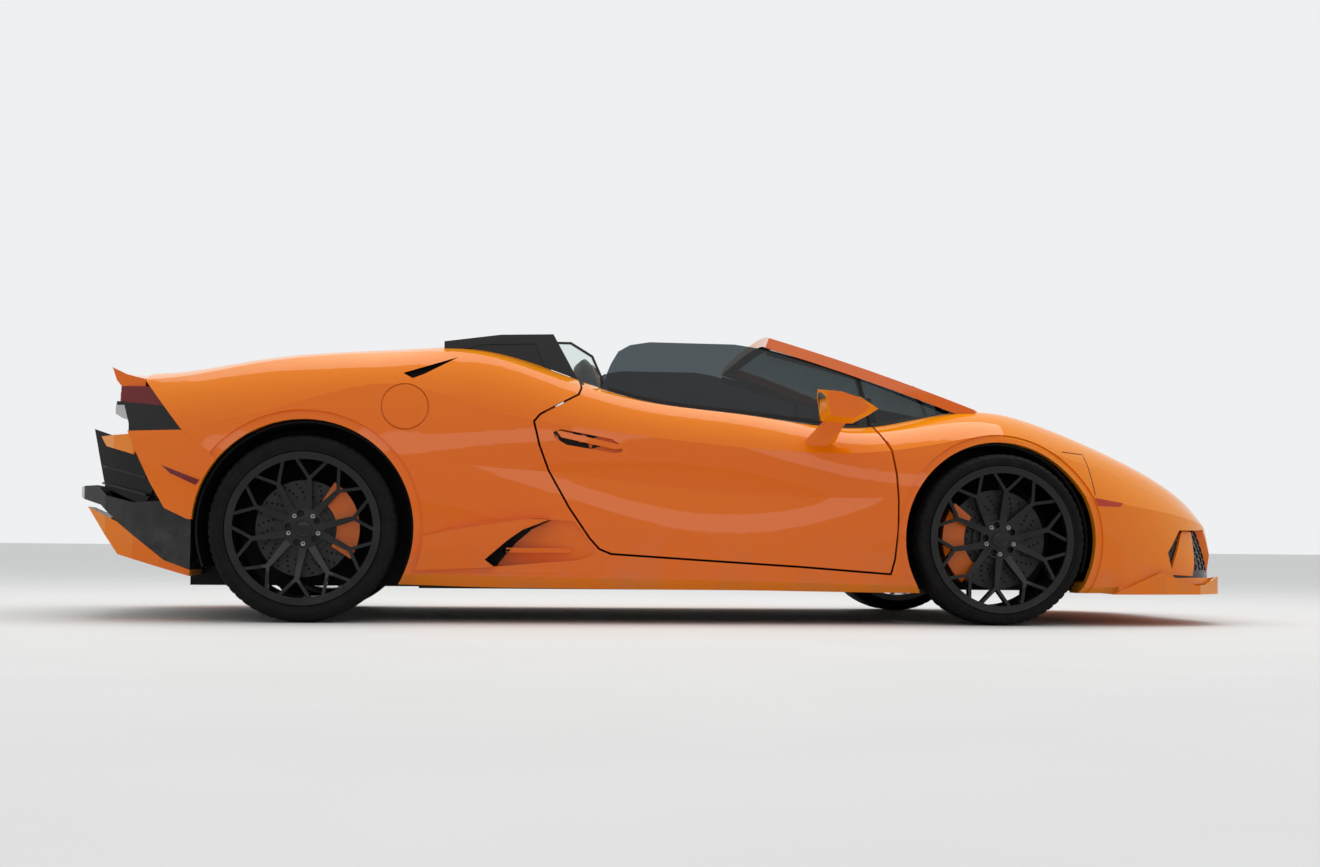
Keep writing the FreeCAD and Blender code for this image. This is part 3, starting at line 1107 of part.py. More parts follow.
def rear_mesh():
    """A flat grille of slanted openings with two round holes for the outlets."""
    half, low, high = MESH_HALF - CLEAR, MESH_Z0 + CLEAR, MESH_Z1 - CLEAR
    face = polygon_face([Vec(MESH_X, y, z) for y,
                         z in ((-half, low), (half, low), (half, high), (-half, high))])
    wires = [face.OuterWire]
    outlet_r = EXHAUST_R + OUTLET_GAP
    for side in (-1, 1):
        circle = Part.makeCircle(outlet_r, Vec(MESH_X, side * EXHAUST_Y, EXHAUST_Z), Vec(1, 0, 0))
        wires.append(Part.Wire([circle]))
    reach_y, reach_z = MESH_PITCH_Y - MESH_BAR, MESH_PITCH_Z - MESH_BAR
    rows = int((high - low - MESH_BAR) / MESH_PITCH_Z)
    columns = int((half - MESH_BAR - reach_z / 2) / MESH_PITCH_Y)
    for row in range(rows):
        z = low + (high - low - rows * MESH_PITCH_Z + MESH_BAR) / 2 + row * MESH_PITCH_Z
        for column in range(-columns, columns):
            y = column * MESH_PITCH_Y + MESH_BAR / 2
            middle = math.hypot(abs(y + reach_y / 2) - EXHAUST_Y, z + reach_z / 2 - EXHAUST_Z)
            if middle > outlet_r + reach_y:
                lean = reach_z / 2
                corners = [Vec(MESH_X, y, z), Vec(MESH_X, y + reach_y - lean, z),
                           Vec(MESH_X, y + reach_y, z + reach_z), Vec(MESH_X, y + lean, z + reach_z)]
                wires.append(Part.makePolygon(corners + [corners[0]]))
    return Part.Face(wires, "Part::FaceMakerBullseye").extrude(Vec(MESH_T, 0, 0))


def both_halves(outline):
    """A right-hand half outline from above, with its mirror image joined to it."""
    return outline + [(x, -y) for x, y in reversed(outline[:-1])]


def spoiler():
    """The raised tail edge, swept across the car through its side outlines."""
    wires = []
    for y in (-806, -450, 0, 450, 806):
        points = [Vec(x, y, z) for x, z in SPOILER_ROWS[abs(y)]]
        wires.append(Part.makePolygon(points + [points[0]]))
    return Part.makeLoft(wires, True, True)


def rear_end(corner):
    """Tail panel, mesh, lamps, diffuser, blades, spoiler and exhaust."""
    panels = {"tail_spoiler": spoiler()}
    plan = plan_prism(both_halves(TAIL_PLAN[1:]), 0, PAST_TOP)
    panel = cross_prism(TAIL_PANEL, TAIL_PANEL_X - TAIL_PANEL_T, TAIL_PANEL_X)
    hole = box(-2200, -1900, -MESH_HALF, MESH_HALF, MESH_Z0, MESH_Z1)
    ledge = plan_prism(both_halves(LEDGE_PLAN), LEDGE_Z, LEDGE_Z + LEDGE_T)
    trims = [side_prism(SIDE_TRIM, side * SIDE_TRIM_OUT_Y, side * SIDE_TRIM_IN_Y) for side in (-1, 1)]
    panels["tail_panel"] = largest(panel.cut(hole).fuse(ledge))
    panels["side_trims"] = Part.makeCompound(trims)
    lamp = side_prism(TAIL_LAMP, -1000, 0).common(plan_prism(LAMP_PLAN, 600, 1000))
    panels["tail_lamps"] = both_sides(largest(lamp.cut([panels["tail_panel"], trims[0]])))
    pipes = []
    for side in (-1, 1):
        y = side * EXHAUST_Y
        length = CAN_REAR_X - EXHAUST_END_X
        start = Vec(EXHAUST_END_X, y, EXHAUST_Z)
        tube = Part.makeCylinder(EXHAUST_R, length, start, Vec(1, 0, 0))
        pipes.append(tube.cut(Part.makeCylinder(EXHAUST_R - EXHAUST_WALL, length, start, Vec(1, 0, 0))))
    can = box(CAN_REAR_X, CAN_FRONT_X, -CAN_HALF, CAN_HALF, EXHAUST_Z - CAN_LOW, EXHAUST_Z + CAN_HIGH)
    panels["rear_mesh"] = rear_mesh()
    panels["exhaust"] = largest(can.fuse(pipes))
    wing = side_prism(CORNER_WING, -PAST_TAIL_Y, -CORNER_WING_IN_Y)
    wing_plan = plan_prism(WING_PLAN, 500, 800)
    panels["rear_bumper"] = corner.fuse(wing.common(wing_plan))
    panels["diffuser"] = diffuser(plan, panels["rear_bumper"])
    blade = side_prism(REAR_BLADE, -BLADE_OUT_Y, -BLADE_IN_Y).common(plan)
    panels["rear_blades"] = both_sides(blade.cut(panels["diffuser"]))
    return panels


def diffuser(plan, corner):
    """The dark under-tail: corner panels, ledge, centre panel, side fins and keels."""
    body = side_prism(DIFFUSER, -PAST_TAIL_Y, PAST_TAIL_Y)
    under = side_prism(UNDERTAIL, -UNDERTAIL_HALF, UNDERTAIL_HALF)
    centre = side_prism(CENTRE_PANEL, -CENTRE_HALF, CENTRE_HALF)
    parts = [under, centre]
    for y in DIFFUSER_FINS_Y:
        parts.append(side_prism(DIFFUSER_FIN, y - FIN_HALF_T, y + FIN_HALF_T))
    for side in (-1, 1):
        y0, y1 = side * (CENTRE_HALF - CENTRE_POST_T), side * CENTRE_HALF
        parts.append(side_prism(CENTRE_POST, y0, y1))
        for k in (0, 1):
            fin = [(x, z + k * CORNER_FIN_STEP) for x, z in CORNER_FIN]
            parts.append(side_prism(fin, side * PAST_Y, side * (CENTRE_HALF - 1)))
    whole = body.fuse(parts).common(plan)
    hollow = side_prism(DIFFUSER_HOLLOW, -DIFFUSER_HOLLOW_HALF, DIFFUSER_HOLLOW_HALF)
    tub_room = box(TUB_REAR_X - CLEAR, -1600, -FRAME_Y, FRAME_Y, 0, 800)
    side_room = side_prism(grown(BUMPER_SIDE, SEAM_GAP), -1200, -CENTRE_HALF)
    rooms = [hollow, tub_room, side_room, mirrored(side_room), corner, mirrored(corner)]
    return largest(whole.cut(rooms))


def main():
    os.makedirs("parts", exist_ok=True)
    outer, panels = body_panels()
    left_quarter = mirrored(largest(panels["rear_quarters"]))
    panels["fuel_flap"], right_quarter = fuel_flap(outer, panels["rear_quarters"])
    panels["rear_quarters"] = Part.makeCompound([right_quarter] + solids_of(left_quarter))
    wheel_set(panels)
    for level in HINGE_LEVELS:
        panels["door_right"] = panels["door_right"].cut(door_hinge(level)[1])
    door = largest(panels["door_right"])
    panels["door_right"] = door
    for side in (-1, 1):
        panels["bonnet"] = panels["bonnet"].cut(bonnet_hinge(side)[1])
        panels["engine_cover"] = panels["engine_cover"].cut(deck_hinge(side)[1])
    panels["bonnet"] = largest(panels["bonnet"])
    panels["engine_cover"] = largest(panels["engine_cover"])
    fender = largest(panels["front_fenders"])
    glass, frame, frame_under = windscreen(fender)
    panels["windscreen_glass"] = glass
    panels["windscreen_frame"] = frame
    panels["side_glass_right"] = side_glass(door, frame)
    panels["quarter_glass"] = both_sides(quarter_glass(door, frame, fender))
    panels["mirror_right"] = mirror(door)
    for name in ("door", "side_glass", "mirror"):
        panels[name + "_left"] = mirrored(panels[name + "_right"])
    panels.update(rear_end(largest(panels["rear_bumper"])))
    for name in ("headlamps", "front_fenders", "side_sills", "rear_bumper"):
        panels[name] = both_sides(largest(panels[name]))
    fin, pane = deck_fin(outer)
    panels["deck_fins"] = both_sides(fin)
    panels["deflector_panes"] = both_sides(pane)
    panels["front_grilles"] = both_sides(front_grille())
    panels["wheelhouses"] = wheelhouses()
    bumper = largest(panels["front_bumper"])
    panels["front_bumper"] = bumper.fuse(mirrored(bumper)).removeSplitter()
    panels["chassis_tub"] = chassis_tub(frame_under)
    panels["seat_right"] = seat()
    panels["seat_left"] = mirrored(panels["seat_right"])
    panels["dashboard"] = dashboard()
    panels["steering_wheel"] = steering_wheel()
    panels["engine"] = box(ENGINE_REAR_X, ENGINE_FRONT_X, -ENGINE_HALF, ENGINE_HALF, SEAT_BASE_Z,
                           ENGINE_TOP_Z)
    for name, shape in sorted(panels.items()):
        b = shape.BoundBox
        print(name, [round(solid.Volume / 1e6, 2) for solid in shape.Solids], shape.isValid(),
              [round(v) for v in (b.XMin, b.XMax, b.YMin, b.YMax, b.ZMin, b.ZMax)])
        shape.exportStep("parts/" + name + ".step")


if __name__ == "__main__":
    main()
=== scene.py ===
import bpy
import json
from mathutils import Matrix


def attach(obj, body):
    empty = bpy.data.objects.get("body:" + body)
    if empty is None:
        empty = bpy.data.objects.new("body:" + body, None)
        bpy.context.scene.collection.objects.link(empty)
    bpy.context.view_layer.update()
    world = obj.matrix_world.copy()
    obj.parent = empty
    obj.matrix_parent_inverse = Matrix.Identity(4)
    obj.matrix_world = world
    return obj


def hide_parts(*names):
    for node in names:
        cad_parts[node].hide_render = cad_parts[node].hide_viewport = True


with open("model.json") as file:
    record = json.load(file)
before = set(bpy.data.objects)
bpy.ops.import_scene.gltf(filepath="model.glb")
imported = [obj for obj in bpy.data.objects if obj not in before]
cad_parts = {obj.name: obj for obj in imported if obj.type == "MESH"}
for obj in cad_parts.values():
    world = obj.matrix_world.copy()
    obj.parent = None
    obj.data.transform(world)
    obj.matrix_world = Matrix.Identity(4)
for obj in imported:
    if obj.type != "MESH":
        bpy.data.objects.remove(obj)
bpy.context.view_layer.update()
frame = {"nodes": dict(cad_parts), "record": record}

import json
import math

import bmesh
import bpy
from bpy.props import FloatProperty, FloatVectorProperty, PointerProperty
from mathutils import Matrix, Vector
from mathutils.bvhtree import BVHTree

bl_info = {
    "name": "Open supercar finishes",
    "version": (1, 0, 0),
    "blender": (4, 5, 0),
    "location": "View3D > Sidebar > Supercar",
    "description": "Finishes and fine pieces of an open two-seat supercar",
    "category": "Object",
}

MM = 0.001

# Wheels, in metres
FRONT_AXLE_X = 1.240
REAR_AXLE_X = -1.380
FRONT_TYRE_R = 0.327
REAR_TYRE_R = 0.343
FRONT_TYRE_W = 0.245
REAR_TYRE_W = 0.305
FRONT_FACE_Y = 0.952
REAR_FACE_Y = 0.957
BOLT_CIRCLE_R = 0.056
BOLT_COUNT = 5
DISC_R = {"front": 0.190, "rear": 0.178}
DISC_EDGE = 0.008
VENT_REACHES = (0.118, 0.134, 0.150, 0.166)
VENT_COUNT = 24
VENT_STAGGER = 0.25
FLOOR_REACH = 400.0


# Settings

class PaintSettings(bpy.types.PropertyGroup):
    # Painted sheen: the paint turns from the face-on colour to a lighter colour at a slant. Part of this is
    # the pearl's own shift; part stands in for the sky's reflection on the lacquer of surfaces seen at a
    # slant, such as the tops.
    colour: FloatVectorProperty(name="Paint", description="Colour of the paint seen at a slant",
                                subtype="COLOR",
                                default=(0.95, 0.31, 0.004), min=0.0, max=1.0)
    glow: FloatVectorProperty(name="Pearl", description="Colour of the pearl seen face on", subtype="COLOR",
                              default=(0.82, 0.142, 0.001), min=0.0, max=1.0)
    flake: FloatProperty(name="Flake", description="Strength of the flake's sparkle", default=0.12, min=0.0,
                         max=1.0,
                         subtype="FACTOR")


class StageSettings(bpy.types.PropertyGroup):
    camera_place: FloatVectorProperty(name="Camera", description="Where the camera stands",
                                      subtype="TRANSLATION",
                                      unit="LENGTH", default=(-0.8387, -7.7322, 0.2846))
    camera_turn: FloatProperty(name="Turn", description="Camera's turn towards the nose", subtype="ANGLE",
                               default=math.radians(6.427))
    camera_tilt: FloatProperty(name="Tilt", description="Camera's tilt upwards", subtype="ANGLE",
                               default=math.radians(3.561))
    camera_roll: FloatProperty(name="Roll", description="Camera's roll", subtype="ANGLE",
                               default=math.radians(0.52))
    lens: FloatProperty(name="Lens", description="Focal length", default=50.0, min=20.0, max=200.0)
    backdrop: FloatProperty(name="Backdrop", description="Brightness of the background", default=1.0, min=0.0)


# Shader helpers

def socket_group(name, inputs, outputs):
    """An empty shader node group with its sockets, its input node and its output node."""
    tree = bpy.data.node_groups.new(name, "ShaderNodeTree")
    for label, kind, default in inputs:
        item = tree.interface.new_socket(label, in_out="INPUT", socket_type=kind)
        item.default_value = default
    for label, kind in outputs:
        tree.interface.new_socket(label, in_out="OUTPUT", socket_type=kind)
    return tree, tree.nodes.new("NodeGroupInput"), tree.nodes.new("NodeGroupOutput")


def node(tree, kind, inputs=None, **values):
    item = tree.nodes.new(kind)
    for key, value in values.items():
        setattr(item, key, value)
    for key, value in (inputs or {}).items():
        socket = item.inputs[key]
        if isinstance(value, bpy.types.NodeSocket):
            tree.links.new(value, socket)
        else:
            socket.default_value = value
    return item


def noise(tree, vector, scale, detail=3.0, rough=0.5):
    return node(tree, "ShaderNodeTexNoise",
                {"Vector": vector, "Scale": scale, "Detail": detail, "Roughness": rough})


def ramp(tree, value, low, high, to_low=0.0, to_high=1.0):
    item = node(tree, "ShaderNodeMapRange", {"Value": value, "From Min": low, "From Max": high,
                                             "To Min": to_low, "To Max": to_high})
    return item.outputs["Result"]


def maths(tree, operation, a, b=0.0):
    return node(tree, "ShaderNodeMath", {0: a, 1: b}, operation=operation).outputs[0]


def mixed(tree, factor, a, b):
    item = node(tree, "ShaderNodeMix", data_type="RGBA")
    for index, value in ((0, factor), (6, a), (7, b)):
        if isinstance(value, bpy.types.NodeSocket):
            tree.links.new(value, item.inputs[index])
        else:
            item.inputs[index].default_value = value
    return item.outputs[2]


def rgba(colour):
    return (colour[0], colour[1], colour[2], 1.0)


def build_peel_group():
    """Fine waviness of sprayed lacquer, as a height."""
    tree, given, out = socket_group("lacquer_waves", [("Scale", "NodeSocketFloat", 90.0)],
                                    [("Height", "NodeSocketFloat")])
    place = node(tree, "ShaderNodeTexCoord").outputs["Object"]
    waves = noise(tree, place, given.outputs["Scale"], 2.0)
    tree.links.new(waves.outputs["Fac"], out.inputs["Height"])
    return tree


def build_dust_group():
    """A thin film of road dust, thickest low down, as a mask."""
    inputs = [("Reach", "NodeSocketFloat", 0.45), ("Amount", "NodeSocketFloat", 0.3)]
    tree, given, out = socket_group("road_dust", inputs, [("Mask", "NodeSocketFloat")])
    place = node(tree, "ShaderNodeTexCoord").outputs["Object"]
    height = node(tree, "ShaderNodeSeparateXYZ", {0: place}).outputs["Z"]
    low = node(tree, "ShaderNodeMapRange",
               {"Value": height, "From Min": 0.05, "From Max": given.outputs["Reach"],
                                            "To Min": 1.0, "To Max": 0.0}).outputs["Result"]
    cloud = noise(tree, place, 9.0, 6.0, 0.62)
    grain = ramp(tree, cloud.outputs["Fac"], 0.38, 0.72)
    amount = maths(tree, "MULTIPLY", low, given.outputs["Amount"])
    tree.links.new(maths(tree, "MULTIPLY", amount, grain), out.inputs["Mask"])
    return tree


def build_grain_group():
    """Pebbled grain of leather or moulded plastic, as a height."""
    tree, given, out = socket_group("fine_grain", [("Scale", "NodeSocketFloat", 700.0)],
                                    [("Height", "NodeSocketFloat"), ("Mask", "NodeSocketFloat")])
    place = node(tree, "ShaderNodeTexCoord").outputs["Object"]
    cells = node(tree, "ShaderNodeTexVoronoi", {"Vector": place, "Scale": given.outputs["Scale"]})
    wide = noise(tree, place, 14.0, 4.0)
    tree.links.new(cells.outputs["Distance"], out.inputs["Height"])
    tree.links.new(wide.outputs["Fac"], out.inputs["Mask"])
    return tree


GROUP_MAKERS = {"lacquer_waves": build_peel_group, "road_dust": build_dust_group,
                "fine_grain": build_grain_group}


def shared(tree, name, **values):
    """One of the shared effects, placed in a material."""
    group = bpy.data.node_groups.get(name) or GROUP_MAKERS[name]()
    item = tree.nodes.new("ShaderNodeGroup")
    item.node_tree = group
    for key, value in values.items():
        item.inputs[key].default_value = value
    return item


def material(name):
    """A new material with its shader, and the shader's own tree."""
    made = bpy.data.materials.new("finish_" + name)
    made.use_nodes = True
    tree = made.node_tree
    return made, tree, tree.nodes["Principled BSDF"]


def set_shader(shader, **values):
    for key, value in values.items():
        shader.inputs[key.replace("_", " ")].default_value = value


def bump(tree, shader, height, strength, distance=0.001):
    item = node(tree, "ShaderNodeBump", {"Height": height, "Strength": strength, "Distance": distance})
    tree.links.new(item.outputs["Normal"], shader.inputs["Normal"])
    return item


# Materials

def make_paint(name):
    settings = bpy.context.scene.car_paint
    made, tree, shader = material(name)
    # Painted sheen: the colour turns lighter towards a slant. This is partly the pearl's own shift and partly
    # stands in for the sky's reflection on the lacquer.
    slant_sheen_share = node(tree, "ShaderNodeLayerWeight", {"Blend": 0.7}).outputs["Facing"]
    base = mixed(tree, slant_sheen_share, rgba(settings.glow), rgba(settings.colour))
    place = node(tree, "ShaderNodeTexCoord").outputs["Object"]
    sparkle = node(tree, "ShaderNodeTexVoronoi", {"Vector": place, "Scale": 2600.0})
    flake = ramp(tree, sparkle.outputs["Distance"], 0.0, 0.5, settings.flake, 0.0)
    with_flake = mixed(tree, flake, base, (1.0, 0.30, 0.03, 1.0))
    dust = shared(tree, "road_dust", Reach=0.42, Amount=0.22)
    colour = mixed(tree, dust.outputs["Mask"], with_flake, (0.30, 0.24, 0.19, 1.0))
    tree.links.new(colour, shader.inputs["Base Color"])
    rough = ramp(tree, dust.outputs["Mask"], 0.0, 0.2, 0.30, 0.5)
    tree.links.new(rough, shader.inputs["Roughness"])
    waves = shared(tree, "lacquer_waves", Scale=120.0)
    bump(tree, shader, waves.outputs["Height"], 0.04, 0.0004)
    set_shader(shader, Metallic=0.0, Specular_IOR_Level=0.0, Coat_Weight=0.9, Coat_Roughness=0.03,
               Coat_IOR=1.4)
    return made


def make_gloss(name, colour, rough=0.18, coat=0.6, dust_amount=0.35):
    made, tree, shader = material(name)
    dust = shared(tree, "road_dust", Reach=0.6, Amount=dust_amount)
    tint = mixed(tree, dust.outputs["Mask"], rgba(colour), (0.20, 0.18, 0.16, 1.0))
    tree.links.new(tint, shader.inputs["Base Color"])
    tree.links.new(ramp(tree, dust.outputs["Mask"], 0.0, 0.3, rough, 0.6), shader.inputs["Roughness"])
    waves = shared(tree, "lacquer_waves", Scale=180.0)
    bump(tree, shader, waves.outputs["Height"], 0.05, 0.0004)
    set_shader(shader, Specular_IOR_Level=0.2, Coat_Weight=coat, Coat_Roughness=0.05)
    return made


def make_matt(name, colour, rough=0.62, scale=900.0, depth=0.25):
    made, tree, shader = material(name)
    grain = shared(tree, "fine_grain", Scale=scale)
    light = tuple(min(1.0, c * 1.5 + 0.004) for c in colour)
    tree.links.new(mixed(tree, grain.outputs["Mask"], rgba(colour), rgba(light)), shader.inputs["Base Color"])
    tree.links.new(ramp(tree, grain.outputs["Mask"], 0.3, 0.7, rough - 0.08, rough + 0.08),
                   shader.inputs["Roughness"])
    bump(tree, shader, grain.outputs["Height"], depth, 0.0006)
    set_shader(shader, Specular_IOR_Level=0.25)
    return made


def make_metal(name, colour, rough=0.35):
    made, tree, shader = material(name)
    grain = shared(tree, "fine_grain", Scale=260.0)
    dark = tuple(c * 0.7 for c in colour)
    tree.links.new(mixed(tree, grain.outputs["Mask"], rgba(dark), rgba(colour)), shader.inputs["Base Color"])
    tree.links.new(ramp(tree, grain.outputs["Mask"], 0.3, 0.7, rough - 0.1, rough + 0.12),
                   shader.inputs["Roughness"])
    bump(tree, shader, grain.outputs["Height"], 0.12, 0.0006)
    set_shader(shader, Metallic=1.0)
    return made


def make_glass(name, colour, cover):
    """Tinted window glass: its own colour, with a film that holds back part of the light."""
    made, tree, shader = material(name)
    place = node(tree, "ShaderNodeTexCoord").outputs["Object"]
    smear = noise(tree, place, 6.0, 5.0)
    tree.links.new(ramp(tree, smear.outputs["Fac"], 0.45, 0.8, 0.0, 0.08), shader.inputs["Roughness"])
    set_shader(shader, Base_Color=rgba(colour), Transmission_Weight=cover, IOR=1.45)
    return made


def make_lit(name, colour, glow):
    """A lamp's light bar, with a faint glow of its own that fades in patches."""
    made, tree, shader = material(name)
    place = node(tree, "ShaderNodeTexCoord").outputs["Object"]
    cells = noise(tree, place, 260.0, 2.0)
    tint = mixed(tree, cells.outputs["Fac"], rgba(tuple(c * 0.75 for c in colour)), rgba(colour))
    tree.links.new(tint, shader.inputs["Base Color"])
    tree.links.new(tint, shader.inputs["Emission Color"])
    set_shader(shader, Roughness=0.25, Coat_Weight=1.0, Emission_Strength=glow)
    return made


def make_tyre(name):
    made, tree, shader = material(name)
    place = node(tree, "ShaderNodeTexCoord").outputs["Object"]
    cloud = noise(tree, place, 22.0, 6.0, 0.6)
    tint = mixed(tree, ramp(tree, cloud.outputs["Fac"], 0.35, 0.75), (0.004, 0.004, 0.0045, 1.0),
                 (0.013, 0.0125, 0.012, 1.0))
    tree.links.new(tint, shader.inputs["Base Color"])
    tree.links.new(ramp(tree, cloud.outputs["Fac"], 0.3, 0.7, 0.62, 0.8), shader.inputs["Roughness"])
    grain = shared(tree, "fine_grain", Scale=1400.0)
    bump(tree, shader, grain.outputs["Height"], 0.25, 0.0005)
    set_shader(shader, Specular_IOR_Level=0.12)
    return made


def make_disc(name):
    """The dark grey ceramic of a brake disc, mottled like stone."""
    made, tree, shader = material(name)
    place = node(tree, "ShaderNodeTexCoord").outputs["Object"]
    cloud = noise(tree, place, 40.0, 5.0)
    tint = mixed(tree, cloud.outputs["Fac"], (0.010, 0.010, 0.011, 1.0), (0.035, 0.034, 0.034, 1.0))
    tree.links.new(tint, shader.inputs["Base Color"])
    tree.links.new(ramp(tree, cloud.outputs["Fac"], 0.3, 0.7, 0.32, 0.5), shader.inputs["Roughness"])
    bump(tree, shader, cloud.outputs["Fac"], 0.2, 0.0006)
    set_shader(shader, Specular_IOR_Level=0.3)
    return made


# Each finish with its maker, its colour and the maker's other values
FINISHES = {
    "body_paint": (make_paint,),
    "trim_black": (make_gloss, (0.010, 0.010, 0.011), 0.2, 0.3),
    "lamp_lens": (make_gloss, (0.02, 0.021, 0.024), 0.08, 1.0, 0.1),
    "lamp_red": (make_gloss, (0.16, 0.003, 0.006), 0.1, 0.5, 0.1),
    "tinted_glass": (make_glass, (0.06, 0.08, 0.09), 1.0),
    "clear_glass": (make_glass, (0.80, 0.88, 0.86), 1.0),
    "exhaust_steel": (make_metal, (0.35, 0.33, 0.31), 0.35),
    "tub_black": (make_matt, (0.012, 0.012, 0.012), 0.7, 500.0),
    "cabin_black": (make_matt, (0.014, 0.014, 0.015), 0.6, 1100.0),
    "seat_leather": (make_matt, (0.016, 0.016, 0.017), 0.48, 800.0, 0.4),
    "wheel_leather": (make_matt, (0.012, 0.012, 0.012), 0.5, 900.0, 0.4),
    "engine_metal": (make_metal, (0.35, 0.35, 0.36), 0.45),
    "arm_metal": (make_metal, (0.25, 0.25, 0.26), 0.45),
    "caliper_orange": (make_gloss, (0.86, 0.16, 0.002), 0.25, 0.4, 0.05),
    "tyre_rubber": (make_tyre,),
    "rim_black": (make_gloss, (0.004, 0.004, 0.0045), 0.22, 0.16, 0.1),
    "disc_iron": (make_disc,),
    "seat_centre": (make_matt, (0.022, 0.022, 0.024), 0.75, 1500.0, 0.5),
    "cabin_grain": (make_matt, (0.017, 0.017, 0.018), 0.55, 900.0, 0.35),
    "stitch_orange": (make_matt, (0.55, 0.13, 0.01), 0.6, 2500.0, 0.4),
    "bar_alloy": (make_metal, (0.30, 0.30, 0.31), 0.3),
    "bolt_steel": (make_metal, (0.32, 0.32, 0.33), 0.32),
    "vent_dark": (make_matt, (0.004, 0.004, 0.004), 0.8),
    "seam_dark": (make_matt, (0.010, 0.006, 0.004), 0.8),
    "lamp_white": (make_lit, (0.80, 0.82, 0.85), 0.35),
    "lamp_glow_red": (make_lit, (0.60, 0.02, 0.02), 0.25),
    "lens_smoke": (make_gloss, (0.10, 0.10, 0.11), 0.06, 1.0, 0.0),
    "rubber_black": (make_matt, (0.006, 0.006, 0.006), 0.7, 1600.0),
    "mirror_silver": (make_metal, (0.75, 0.77, 0.80), 0.12),
    "screen_glass": (make_gloss, (0.008, 0.009, 0.012), 0.08, 1.0, 0.0),
    "lamp_amber": (make_gloss, (0.50, 0.030, 0.004), 0.12, 0.5, 0.1),
}


ready = {}


def finish_of(name):
    """The finish of that name, made when it is first wanted."""
    if name not in ready:
        maker, *values = FINISHES[name]
        ready[name] = maker(name, *values)
    return ready[name]


def face_to(obj, finish):
    """Gives a piece one finish."""
    obj.data.materials.clear()
    obj.data.materials.append(finish_of(finish))


# Mesh helpers

def solid_of(name):
    """The carried-over solid as a search tree for rays."""
    mesh = frame["nodes"][name].data
    points = [vertex.co.copy() for vertex in mesh.vertices]
    faces = [tuple(polygon.vertices) for polygon in mesh.polygons]
    return BVHTree.FromPolygons(points, faces)


class Surface:
    """The outer surface of some solids, met by rays along one direction."""

    def __init__(self, names, way, start=3.0):
        self.trees = [solid_of(name) for name in names]
        self.way = Vector(way)
        self.start = start

    def meet(self, point):
        """Where the ray through the point first meets a solid, and the normal there."""
        origin = Vector(point) - self.way * self.start
        best = None
        for tree in self.trees:
            place, normal, _, distance = tree.ray_cast(origin, self.way)
            if place is not None and (best is None or distance < best[2]):
                best = (place, normal, distance)
        if best is None:
            return None, None
        place, normal, _ = best
        if normal.dot(self.way) > 0:
            normal = -normal
        return place, normal


def finished(name, body, finish, bm, smooth=True):
    """A piece made from a mesh, with its finish, riding on its body."""
    bmesh.ops.recalc_face_normals(bm, faces=bm.faces)
    mesh = bpy.data.meshes.new(name)
    bm.to_mesh(mesh)
    bm.free()
    if smooth:
        for polygon in mesh.polygons:
            polygon.use_smooth = True
    obj = bpy.data.objects.new(name, mesh)
    bpy.context.collection.objects.link(obj)
    face_to(obj, finish)
    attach(obj, body)
    return obj


def resampled(path, step):
    """Points along a path, no further apart than the step."""
    points = []
    for a, b in zip(path, path[1:]):
        a, b = Vector(a), Vector(b)
        count = max(1, math.ceil((b - a).length / step))
        points += [a.lerp(b, k / count) for k in range(count)]
    return points + [Vector(path[-1])]


def laid_strip(bm, surface, path, width, lift=0.0006, depth=0.003, step=0.02):
    """A flat strip laid along a path on a surface, with its edges turned down into it."""
    points = resampled(path, step)
    rows = []
    for index, point in enumerate(points):
        ahead = points[min(index + 1, len(points) - 1)]
        behind = points[max(index - 1, 0)]
        across = (ahead - behind).cross(surface.way).normalized() * (width / 2)
        row = []
        for side in (-1, 1):
            place, normal = surface.meet(point + across * side)
            if place is None:
                break
            row.append((place + normal * lift, place - normal * depth))
        if len(row) == 2:
            (left, left_low), (right, right_low) = row
            rows.append([bm.verts.new(p) for p in (left_low, left, right, right_low)])
        else:
            rows.append(None)
    for a, b in zip(rows, rows[1:]):
        if a and b:
            for k in range(3):
                bm.faces.new((a[k], a[k + 1], b[k + 1], b[k]))
    for row in (rows[0], rows[-1]):
        if row:
            bm.faces.new(row)


